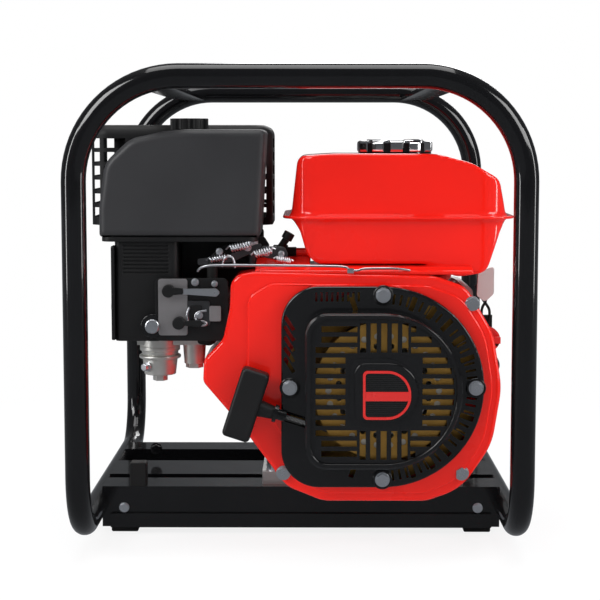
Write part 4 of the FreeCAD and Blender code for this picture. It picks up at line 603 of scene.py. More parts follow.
# ------------------------------------------------------------------ the stage
class PUMP_OT_stage(bpy.types.Operator):
    """Sets the pale floor, the soft lamps and the camera"""
    bl_idname = "pump.stage"
    bl_label = "Stage and camera"

    def execute(self, context):
        scene = context.scene
        scene.view_settings.view_transform = "Standard"
        clear()
        bpy.ops.mesh.primitive_plane_add(size=sizes().floor_size, location=(0, 0, 0))
        floor = added("studio_floor")
        material = bpy.data.materials.new("studio_white")
        material.use_nodes = True
        tree = material.node_tree
        shader = tree.nodes["Principled BSDF"]
        shader.inputs["Base Color"].default_value = GREY
        shader.inputs["Roughness"].default_value = 0.9
        shader.inputs["Specular IOR Level"].default_value = 0.0
        glow = tree.nodes.new("ShaderNodeEmission")
        glow.inputs["Strength"].default_value = 1.0
        path = tree.nodes.new("ShaderNodeLightPath")
        place_on_floor = tree.nodes.new("ShaderNodeTexCoord").outputs["Object"]
        length = tree.nodes.new("ShaderNodeVectorMath")
        length.operation = "LENGTH"
        tree.links.new(place_on_floor, length.inputs[0])
        whiter = ranged(tree, length.outputs["Value"], 0.25, 0.75, 0.84, 1.0)
        seen = maths(tree, "MULTIPLY", path.outputs["Is Camera Ray"], whiter)
        mix = tree.nodes.new("ShaderNodeMixShader")
        tree.links.new(seen, mix.inputs["Fac"])
        tree.links.new(shader.outputs["BSDF"], mix.inputs[1])
        tree.links.new(glow.outputs["Emission"], mix.inputs[2])
        shade = tree.nodes.new("ShaderNodeEmission")
        shade.inputs["Color"].default_value = TINT
        shade.inputs["Strength"].default_value = 0.20
        mirrored = tree.nodes.new("ShaderNodeMixShader")
        tree.links.new(path.outputs["Is Glossy Ray"], mirrored.inputs["Fac"])
        tree.links.new(mix.outputs["Shader"], mirrored.inputs[1])
        tree.links.new(shade.outputs["Emission"], mirrored.inputs[2])
        tree.links.new(mirrored.outputs["Shader"], tree.nodes["Material Output"].inputs["Surface"])
        floor.data.materials.append(material)

        world = bpy.data.worlds.new("studio")
        scene.world = world
        world.use_nodes = True
        tree = world.node_tree
        ambient = tree.nodes["Background"]
        ambient.inputs["Color"].default_value = (0.94, 0.96, 1.0, 1)
        ambient.inputs["Strength"].default_value = 0.53
        white = tree.nodes.new("ShaderNodeBackground")
        white.inputs["Strength"].default_value = 1.0
        white.inputs["Color"].default_value = (1, 1, 1, 1)
        path = tree.nodes.new("ShaderNodeLightPath")
        seen = maths(tree, "MAXIMUM", path.outputs["Is Camera Ray"], path.outputs["Is Transmission Ray"])
        mix = tree.nodes.new("ShaderNodeMixShader")
        dim = tree.nodes.new("ShaderNodeBackground")
        dim.inputs["Color"].default_value = TINT
        dim.inputs["Strength"].default_value = 0.10
        lit = tree.nodes.new("ShaderNodeMixShader")
        tree.links.new(path.outputs["Is Glossy Ray"], lit.inputs["Fac"])
        tree.links.new(ambient.outputs["Background"], lit.inputs[1])
        tree.links.new(dim.outputs["Background"], lit.inputs[2])
        tree.links.new(seen, mix.inputs["Fac"])
        tree.links.new(lit.outputs["Shader"], mix.inputs[1])
        tree.links.new(white.outputs["Background"], mix.inputs[2])
        tree.links.new(mix.outputs["Shader"], tree.nodes["World Output"].inputs["Surface"])

        for name, at, aim, size, share in (
                ("softbox_left", (-1.5, -1.3, 1.5), (0, 0, 0.2), (1.0, 1.0), 1.0),
                ("softbox_right", (1.6, -1.0, 1.2), (0, 0, 0.2), (0.9, 0.9), 0.6),
                ("softbox_top", (0.0, -0.2, 2.1), (0, 0, 0.2), (1.5, 1.5), 0.8),
                ("softbox_back", (0.3, 1.7, 1.3), (0, 0, 0.2), (1.0, 1.0), 0.5),
                ("strip_left", (-1.9, -0.9, 0.6), (0, 0, 0.25), (0.22, 1.1), 0.34),
                ("strip_right", (1.9, -0.5, 0.6), (0, 0, 0.25), (0.22, 1.1), 0.26)):
            bpy.ops.object.light_add(type="AREA", location=at)
            lamp = bpy.context.object
            lamp.name = name
            lamp.data.shape = "RECTANGLE"
            lamp.data.size, lamp.data.size_y = size
            lamp.data.energy = sizes().lamp_strength * share
            lamp.rotation_euler = (Vector(aim) - Vector(at)).to_track_quat("-Z", "Y").to_euler()

        bpy.ops.object.camera_add(location=(0.0105, -1.525, 0.3618),
                                  rotation=(math.pi / 2 - 0.1006, 0, 0.0079))
        camera = bpy.context.object
        camera.name = "studio_camera"
        camera.data.sensor_width = 36.0
        camera.data.lens = 93.15
        camera.data.clip_end = 60
        scene.camera = camera
        return {"FINISHED"}


# ------------------------------------------------------------------ forms that several pieces share
def mm(x, y, z):
    return Vector((x, y, z)) * MM


def corner_points(outline, steps=5):
    """The points of a closed outline (a, b, radius) with its corners rounded."""
    points = []
    for i, (a, b, radius) in enumerate(outline):
        here = Vector((a, b))
        before = (Vector(outline[i - 1][:2]) - here)
        after = (Vector(outline[(i + 1) % len(outline)][:2]) - here)
        if radius <= 0:
            points.append(here)
            continue
        back, ahead = before.normalized(), after.normalized()
        half = back.angle(ahead) / 2
        reach = min(radius / math.tan(half), before.length * 0.49, after.length * 0.49)
        radius = reach * math.tan(half)
        centre = here + (back + ahead).normalized() * (radius / math.sin(half))
        start, end = here + back * reach - centre, here + ahead * reach - centre
        turn = start.angle_signed(end) * -1
        for k in range(steps + 1):
            angle = turn * k / steps
            spoke = Vector((start.x * math.cos(angle) - start.y * math.sin(angle),
                            start.x * math.sin(angle) + start.y * math.cos(angle)))
            points.append(centre + spoke)
    return points


def plate(name, outline, span, facing="Y", steps=5):
    """A flat form with a rounded outline in millimetres, between two places along X, Y or Z."""
    points = corner_points(outline, steps)
    clear()
    bpy.ops.mesh.primitive_circle_add(vertices=len(points), radius=0.01, fill_type="NGON")
    obj = added(name)
    spot = {"Y": lambda p: mm(p.x, span[0], p.y), "Z": lambda p: mm(p.x, p.y, span[0]),
            "X": lambda p: mm(span[0], p.x, p.y)}[facing]
    way = {"Y": (0, 1, 0), "Z": (0, 0, 1), "X": (1, 0, 0)}[facing]
    for vertex, point in zip(obj.data.vertices, points):
        vertex.co = spot(point)
    edit(obj)
    bpy.ops.mesh.select_all(action="SELECT")
    depth = Vector(way) * (span[1] - span[0]) * MM
    bpy.ops.mesh.extrude_region_move(TRANSFORM_OT_translate={"value": depth})
    bpy.ops.mesh.select_all(action="SELECT")
    bpy.ops.mesh.normals_make_consistent(inside=False)
    done()
    return obj


def oblong(x, z, radius):
    return [(x[0], z[0], radius), (x[1], z[0], radius), (x[1], z[1], radius), (x[0], z[1], radius)]


def dee(x, z, corner):
    """A D-shaped outline with its flat side at the left."""
    arc = (z[1] - z[0]) / 2 * 0.98
    return [(x[0], z[0], corner), (x[1], z[0], arc), (x[1], z[1], arc), (x[0], z[1], corner)]


def softly(obj, voxel, rounds):
    """Melts a form into one skin with soft edges."""
    modify(obj, "REMESH", mode="VOXEL", voxel_size=voxel, use_smooth_shade=True)
    modify(obj, "SMOOTH", factor=0.5, iterations=rounds)
    return smooth(obj, 80)


def wire(name, points, radius, order=3, sides=3):
    """A round wire or hose whose smooth line is led by points in millimetres."""
    curve = bpy.data.curves.new(name, "CURVE")
    curve.dimensions = "3D"
    line = curve.splines.new("NURBS")
    line.points.add(len(points) - 1)
    for knot, point in zip(line.points, points):
        knot.co = (*(Vector(point) * MM), 1)
    line.use_endpoint_u = True
    line.order_u = min(order, len(points))
    line.resolution_u = 8
    curve.bevel_depth = radius * MM
    curve.bevel_resolution = sides
    curve.use_fill_caps = True
    obj = bpy.data.objects.new(name, curve)
    bpy.context.scene.collection.objects.link(obj)
    only(obj)
    bpy.ops.object.convert(target="MESH")
    return smooth(added(name), 60)


def spring(name, start, end, radius, thick, turns):
    """A coil spring between two points in millimetres, with a straight tail at each end."""
    start, end = Vector(start), Vector(end)
    way = (end - start).normalized()
    side = way.orthogonal().normalized()
    other = way.cross(side)
    points = [start]
    steps = turns * 8
    for k in range(steps + 1):
        along = start + (end - start) * (0.15 + 0.7 * k / steps)
        angle = math.tau * k / 8
        points.append(along + (side * math.cos(angle) + other * math.sin(angle)) * radius)
    points.append(end)
    return wire(name, points, thick, order=3, sides=2)


def hex_bolt(name, at, way, flats, height, washer=1.35):
    """A flanged bolt head that stands on at, in millimetres."""
    at, way = Vector(at), Vector(way).normalized()
    head = drum(name, at * MM, (at + way * height) * MM, flats * 1.1547 * MM, 6)
    flange = drum(name + "_flange", at * MM, (at + way * height * 0.3) * MM, flats * washer * MM, 32)
    bolt = together(name, [rounded(head, 0.0005, 3, 25), rounded(flange, 0.0003, 2, 40)])
    return smooth(bolt, 40)


def finished(obj, *materials, angle=35):
    smooth(obj, angle)
    return paint(obj, *materials)


def fitted(obj, material, slot, width=0, segments=2, angle=35, corner=40):
    """Rounds, smooths and paints a piece and fixes it to the chassis."""
    if width:
        rounded(obj, width, segments, corner)
    finished(obj, material, angle=angle)
    return place(obj, "chassis", slot=slot)


# ------------------------------------------------------------------ the pieces, one operator for each group
class PUMP_OT_cage(bpy.types.Operator):
    """Finishes the bent tubes, the straps, the crossmembers and the rubber feet"""
    bl_idname = "pump.cage"
    bl_label = "Roll cage"

    def execute(self, context):
        for node in ("front_hoop", "rear_hoop"):
            softened(node, node + "_tube", cage_black(), 0)
        softened("top_straps", "top_strap_bars", cage_black(), 0.0008)
        softened("front_crossmember", "front_crossmember_channel", cage_black(), 0.0012)
        softened("rear_crossmembers", "rear_crossmember_channels", cage_black(), 0.0012)
        softened("rubber_feet", "rubber_foot_pads", soft_rubber(), 0.0008)
        return {"FINISHED"}


class PUMP_OT_fasteners(bpy.types.Operator):
    """Finishes the flange bolts"""
    bl_idname = "pump.fasteners"
    bl_label = "Flange bolts"

    def execute(self, context):
        for node in ("engine_bolts", "base_and_pump_bolts"):
            softened(node, node + "_set", plated_steel(), sizes().bolt_round)
        return {"FINISHED"}


class PUMP_OT_engine(bpy.types.Operator):
    """Finishes the crankcase, the cylinder and what turns in them"""
    bl_idname = "pump.engine"
    bl_label = "Engine block"

    def execute(self, context):
        for node, material, width in (
                ("crankcase", cast_alloy(), 0.0008), ("crankcase_cover", cast_alloy(), 0.0008),
                ("cylinder_head", cast_alloy(), 0.0005), ("rocker_cover", gloss_black(), 0.0015),
                ("crank_bearings", ground_steel(), 0.0005), ("crankshaft", ground_steel(), 0.0005),
                ("piston_and_pin", cast_alloy(), 0.0003), ("spark_plug", pale_nylon(), 0.0003),
                ("ignition_coil", matt_black(), 0.0008), ("ignition_lead", soft_rubber(), 0.0004),
                ("oil_dipstick", matt_black(), 0.0008), ("flywheel", iron_casting(), 0.0008),
                ("cooling_fan", matt_black(), 0.0003), ("starter_cup", plated_steel(), 0.0003)):
            softened(node, node + "_piece", material, width)
        return {"FINISHED"}


class PUMP_OT_shroud(bpy.types.Operator):
    """Finishes the fan shroud and presses the raised panel into its face"""
    bl_idname = "pump.shroud"
    bl_label = "Fan shroud"

    def execute(self, context):
        softened("fan_shroud", "fan_shroud_pressing", body_red(), 0.0008)
        raised = plate("fan_shroud_raised_panel", [
            (-46.5, 160, 9), (-30, 128, 30), (-14, 100, 20), (-14, 72, 20), (20, 53, 30), (112, 53, 34),
            (140, 66, 50), (163, 100, 60), (170, 147, 70), (163, 194, 60), (141, 228, 30), (112, 238, 40),
            (-26, 240, 20), (-46.5, 228, 14)], (-173.2, -169.5), steps=8)
        hole = drum("hole", mm(72, -176, 150), mm(72, -166, 150), 0.0865, 96)
        raised = cut(raised, hole)
        fitted(raised, body_red(), "fan_shroud", 0.0028, 5, angle=50)
        crown = plate("fan_shroud_crown", [
            (-168.5, 247, 0), (-168.5, 250.5, 3), (-160, 253.6, 6), (-100, 254.4, 3), (-100, 247, 0)],
            (-36, 152), "X")
        shoulder = plate("fan_shroud_shoulder", [
            (-166, 247, 0), (-163, 251.5, 3), (-120, 259.5, 8), (-97, 260.6, 3), (-97, 247, 0)],
            (-40, 9), "X")
        for piece in (crown, shoulder):
            fitted(piece, body_red(), "fan_shroud", 0.0016, 3, angle=50)
        return {"FINISHED"}


class PUMP_OT_starter(bpy.types.Operator):
    """Finishes the screen, the slotted cover, the badge boss and the reel of the recoil starter"""
    bl_idname = "pump.starter"
    bl_label = "Recoil starter"

    def execute(self, context):
        cover = softened("recoil_cover", "recoil_cover_moulding", gloss_black(), 0.0007)
        slots = []
        for k in range(5):
            slots.append(self.slit("left_%d" % k, (-9.5, 170 + 9.2 * k), 15.0, 3.2, -58))
        for k in range(9):
            slots.append(self.slit("top_%d" % k, (14 + 4.6 * k, 229.6), 8.0, 1.9, 90))
        for k in range(-19, 19):
            angle = 4.5 * k + 2.2
            if min(abs(angle - spot) for spot in (-90, -45, 0, 45, 90)) < 6.5 and abs(angle) > 3:
                continue
            away = Vector((math.cos(math.radians(angle)), math.sin(math.radians(angle)))) * 78
            slots.append(self.slit("band_%d" % (k + 20), (72 + away.x, 150 + away.y), 9.0, 1.9, angle))
        cut(cover, together("slots", slots))
        smooth(cover, 35)
        for k, (x, z) in enumerate(((72, 231), (153, 150), (72, 69), (-9, 150))):
            seat = ring("bolt_seat_%d" % k, mm(x, -188.2, z), (0, 1, 0), 0.0076, 0.0013, 48, 12)
            fitted(seat, gloss_black(), "recoil_cover", angle=60)
        lip = plate("recoil_cover_lip", dee((5.6, 138.4), (83.6, 216.4), 18), (-213.2, -210.5), steps=14)
        inside = plate("inside", dee((9.6, 134.4), (87.6, 212.4), 15), (-215, -209), steps=14)
        cut(lip, inside)
        fitted(lip, gloss_black(), "recoil_cover", 0.0012, 4, angle=60)

        screen = softened("starter_housing", "starter_screen", screen_gold(), 0)
        holes = []
        for ring_radius, count in ((47.5, 26), (39.0, 20)):
            for k in range(count):
                angle = math.tau * (k + 0.5 * (count == 20)) / count
                x, z = 72 + ring_radius * math.cos(angle), 150 + ring_radius * math.sin(angle)
                holes.append(drum("hole_%d_%d" % (count, k), mm(x, -208, z), mm(x, -202, z), 0.0028, 10))
        cut(screen, together("holes", holes))
        paint(screen, screen_gold(), body_red())
        for face in screen.data.polygons:
            outer = math.hypot(face.center.x - CRANK.x, face.center.z - CRANK.z) > 0.0612
            face.material_index = 1 if outer and face.center.y > -0.1725 else 0
        smooth(screen, 35)

        softened("recoil_reel", "rope_reel", pale_nylon(), 0.0005)
        softened("recoil_spring", "rewind_spring", ground_steel(), 0)
        self.badge()
        return {"FINISHED"}

    def slit(self, name, spot, length, width, degrees):
        """A straight tool that opens one slot in the cover's front, at (x, z) in millimetres."""
        x, z = spot
        slot = block("slit", mm(x - length / 2, -192, z - width / 2),
                     mm(x + length / 2, -184.6, z + width / 2))
        copy = turned(slot, name, mm(x, -188, z), (0, 1, 0), -degrees)
        bpy.data.objects.remove(slot)
        return copy

    def badge(self):
        """The bare badge: a red border, a red band and two ribbed dark fields."""
        boss = plate("badge_boss", dee((47, 101.5), (124, 175), 9), (-212.6, -209.5), steps=10)
        fitted(boss, gloss_black(), "recoil_cover", 0.0012, 4, angle=40)
        border = plate("badge_border", dee((53.9, 95.2), (126.3, 168.6), 4), (-213.6, -211.5), steps=12)
        inner = plate("badge_inner", dee((56.2, 93.0), (128.6, 166.3), 2.5), (-214.5, -210.5), steps=12)
        cut(border, inner)
        fitted(border, badge_red(), "recoil_cover", 0.0003, angle=40, corner=50)
        field = plate("badge_field", dee((55.8, 93.4), (128.2, 166.7), 2.5), (-212.9, -211.9), steps=12)
        grooves = []
        for k in range(20):
            z = 130.2 + 1.8 * k
            if 141.8 < z < 151.2:
                continue
            grooves.append(block("groove_%d" % k, mm(57.2, -213.5, z), mm(94, -212.5, z + 0.8)))
        cut(field, together("grooves", grooves))
        fitted(field, matt_black(), "recoil_cover", angle=30)
        band = plate("badge_band", oblong((55.9, 94.2), (142.4, 150.5), 0.4), (-213.4, -212.2))
        fitted(band, badge_red(), "recoil_cover", 0.0003, angle=40)


class PUMP_OT_pull(bpy.types.Operator):
    """Models the starter grip, its ferrule and its braided rope"""
    bl_idname = "pump.pull"
    bl_label = "Pull grip and rope"

    def execute(self, context):
        turn = math.radians(ROPE_RISE)
        way = Vector((-math.cos(turn), 0, math.sin(turn)))
        side = Vector((-way.z, 0, way.x))
        start = Vector((CRANK.x, ROPE_PLANE, CRANK.z)) + side * REEL_RADIUS
        self.grip(start, way, side)
        self.rope(start, way, side)
        return {"FINISHED"}

    def grip(self, start, way, side):
        at = start + way * 0.109
        bar = plate("pull_grip_bar", oblong((-12.4, 12.4), (-31.2, 31.2), 4), (-10.5, 10.5), "Y")
        rounded(bar, 0.0035, 4, 40)
        bar.data.transform(Matrix.Translation(at) @ self.frame_of(way, side))
        stem = drum("pull_grip_stem", at - way * 0.0290, at - way * 0.010, 0.0052, 40, 0.0078)
        rounded(stem, 0.0008, 2, 40)
        grip = together("pull_grip_handle", [bar, stem])
        finished(grip, matt_black(), angle=45)
        place(grip, body_of("pull_grip"), "pull_grip")
        ferrule = drum("pull_grip_ferrule", at - way * 0.0325, at - way * 0.0285, 0.0047, 32)
        rounded(ferrule, 0.0008, 3, 40)
        finished(ferrule, bright_chrome(), angle=40)
        place(ferrule, body_of("pull_grip"), slot="base_and_pump_bolts")

    def frame_of(self, way, side):
        """A turn that lays local X along the rope and local Z along the bar."""
        return Matrix((way, side.cross(way), side)).transposed().to_4x4()

    def rope(self, start, way, side):
        """Four strands twisted round the line from reel to grip, and a turn that stays on the reel."""
        radius = sizes().rope_diameter / 2
        centre = Vector((CRANK.x, ROPE_PLANE, CRANK.z))
        strands = []
        for strand in range(4):
            points = []
            for k in range(161):
                length = 0.104 * k / 160
                angle = math.tau * (length / 0.011 + strand / 4)
                offset = (side * math.cos(angle) + Vector((0, 1, 0)) * math.sin(angle)) * radius * 0.47
                points.append((start + way * length + offset) / MM)
            strands.append(wire("strand_%d" % strand, points, radius * 0.53 / MM, 2, 2))
        coil = ring("rope_turn", centre, (0, 1, 0), REEL_RADIUS, radius * 0.95, 96, 12)
        finished(coil, braided_rope(), angle=70)
        place(coil, body_of("recoil_reel"), slot="pull_rope")
        rope = together("pull_rope_braid", strands)
        finished(rope, braided_rope(), angle=70)
        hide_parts("pull_rope")
        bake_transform(rope)


class PUMP_OT_tank(bpy.types.Operator):
    """Models the pressed fuel tank with its rolled seam, and finishes its cap"""
    bl_idname = "pump.tank"
    bl_label = "Fuel tank"

    def execute(self, context):
        profile = [
            (-0.5, 284, 10), (6, 262, 16), (15, 254.6, 10), (110, 254.6, 0), (120, 251, 10), (140, 243, 14),
            (166, 247, 12), (178, 282, 30), (185, 296, 6), (177.5, 330, 12), (152, 344.5, 40),
            (122, 352.6, 60), (30, 352.8, 60), (-2.5, 350.8, 8), (-8.6, 296, 6)]
        body = plate("fuel_tank_shell", profile, (-145.5, -2.5), steps=8)
        plan = plate("plan", oblong((-9.5, 185.5), (-145.5, -2.5), 26), (240, 360), "Z", 12)
        modify(body, "BOOLEAN", operation="INTERSECT", object=plan, solver="EXACT")
        bpy.data.objects.remove(plan)
        flare = plate("flare", oblong((-11.5, 187.5), (-148, 0), 28), (294.2, 297.8), "Z", 12)
        neck = drum("neck", mm(CAP_X, CAP_Y, 345), mm(CAP_X, CAP_Y, 356.5), 0.029, 64)
        union(body, flare, neck)
        softly(body, 0.0017, 9)
        lip = plate("fuel_tank_seam", oblong((-16, 192), (-152, 4), 30), (294.7, 297.3), "Z", 12)
        rounded(lip, 0.0010, 4, 40)
        feet = []
        for k, (x, y) in enumerate(((34, -84), (34, -20), (132, -84), (132, -20))):
            foot = drum("foot_%d" % k, mm(x, y, 238), mm(x, y, 253), 0.0078, 32)
            feet.append(rounded(foot, 0.0008, 2, 40))
        spigot = drum("spigot", mm(-14, -112, 263), mm(9, -112, 263), 0.004, 24)
        tank = together("fuel_tank_shell", [body, smooth(lip, 60), *feet, spigot])
        finished(tank, body_red(), angle=60)
        place(tank, "chassis", "fuel_tank")
        nut = hex_bolt("fuel_tank_bracket_nut", (150, -145, 250), (0, -1, 0), 2.6, 2.5)
        place(paint(nut, plated_steel()), "chassis", slot="engine_bolts")

        base = drum("base", mm(CAP_X, CAP_Y, 348.8), mm(CAP_X, CAP_Y, 354.5), 0.0338, 96)
        rounded(base, 0.0008, 2, 40)
        crown = drum("crown", mm(CAP_X, CAP_Y, 353.4), mm(CAP_X, CAP_Y, 364.2), 0.0349, 96)
        rounded(crown, 0.0028, 5, 40)
        notches = []
        for k in range(12):
            angle = math.tau * (k + 0.5) / 12
            x, y = CAP_X + 36.5 * math.cos(angle), CAP_Y + 36.5 * math.sin(angle)
            notches.append(drum("notch_%d" % k, mm(x, y, 352), mm(x, y, 370), 0.0042, 20))
        cut(crown, together("notches", notches))
        top = drum("top", mm(CAP_X, CAP_Y, 363), mm(CAP_X, CAP_Y, 365.5), 0.0262, 64)
        rounded(top, 0.0012, 3, 40)
        collar = drum("collar", mm(CAP_X, CAP_Y, 353), mm(CAP_X, CAP_Y, 362), 0.0338, 96)
        for piece, material in ((base, gloss_black()), (crown, bright_chrome()), (top, bright_chrome()),
                                (collar, gloss_black())):
            paint(piece, material)
        cap = smooth(together("fuel_cap_whole", [base, crown, top, collar]), 35)
        place(cap, body_of("fuel_cap"), "fuel_cap")
        return {"FINISHED"}


class PUMP_OT_fuel(bpy.types.Operator):
    """Finishes the fuel hose, the carburettor, its bowl and the strainer"""
    bl_idname = "pump.fuel"
    bl_label = "Carburettor"

    def execute(self, context):
        softened("fuel_line", "fuel_hose", soft_rubber(), 0)
        softened("fuel_strainer_cup", "fuel_strainer", zinc_casting(), 0.0010, 3)
        softened("carburettor", "carburettor_casting", zinc_casting(), 0.0008)
        softened("float_bowl", "float_bowl_pressing", zinc_casting(), 0.0010, 3)
        at = middle("float_bowl")
        rim = ring("float_bowl_rim", (at.x, at.y, high("float_bowl").z - 0.0095), (0, 0, 1), 0.0172, 0.0019)
        fitted(rim, zinc_casting(), "float_bowl")
        screw = hex_bolt("drain_screw", (at.x / MM - 10, at.y / MM - 12, 160), (-0.6, -0.8, 0), 3.2, 6)
        place(paint(screw, plated_steel()), "chassis", slot="float_bowl")
        return {"FINISHED"}


class PUMP_OT_intake(bpy.types.Operator):
    """Finishes the air cleaner, its knob and the ribbed duct with its bolts"""
    bl_idname = "pump.intake"
    bl_label = "Air cleaner"

    def execute(self, context):
        softened("intake_duct", "intake_duct_moulding", matt_black(), 0.0008)
        softened("air_cleaner_base", "air_cleaner_tray", matt_black(), 0.001)
        softened("air_filter_element", "air_filter_foam", filter_foam(), 0.001)
        softened("air_cleaner_cover", "air_cleaner_shell", cover_grey(), 0.0010, 3)
        softened("cover_knob", "cover_knob_lobed", matt_black(), 0.0020, 4)
        collar = drum("round_bolt_collar", mm(-131.4, -150, 200.3), mm(-131.4, -157, 200.3), 0.0108, 48)
        fitted(collar, gloss_black(), "intake_duct", 0.0015, 3)
        head = drum("round_bolt_head", mm(-131.4, -156.5, 200.3), mm(-131.4, -161.5, 200.3), 0.0066, 40)
        rounded(head, 0.0018, 4, 40)
        cut(head, block("slot_a", mm(-136, -163, 199.5), mm(-126.8, -160.6, 201.1)),
            block("slot_b", mm(-132.2, -163, 195.7), mm(-130.6, -160.6, 204.9)))
        fitted(head, plated_steel(), "engine_bolts", angle=30)
        nut = hex_bolt("duct_side_nut", (-165.5, -121, 214.3), (-1, 0, 0), 4.2, 6.5)
        place(paint(nut, plated_steel()), "chassis", slot="engine_bolts")
        rail = plate("duct_side_rail", oblong((-153, -136), (187, 271), 2), (-168.2, -165.2), "X")
        fitted(rail, matt_black(), "intake_duct", 0.0006)
        return {"FINISHED"}


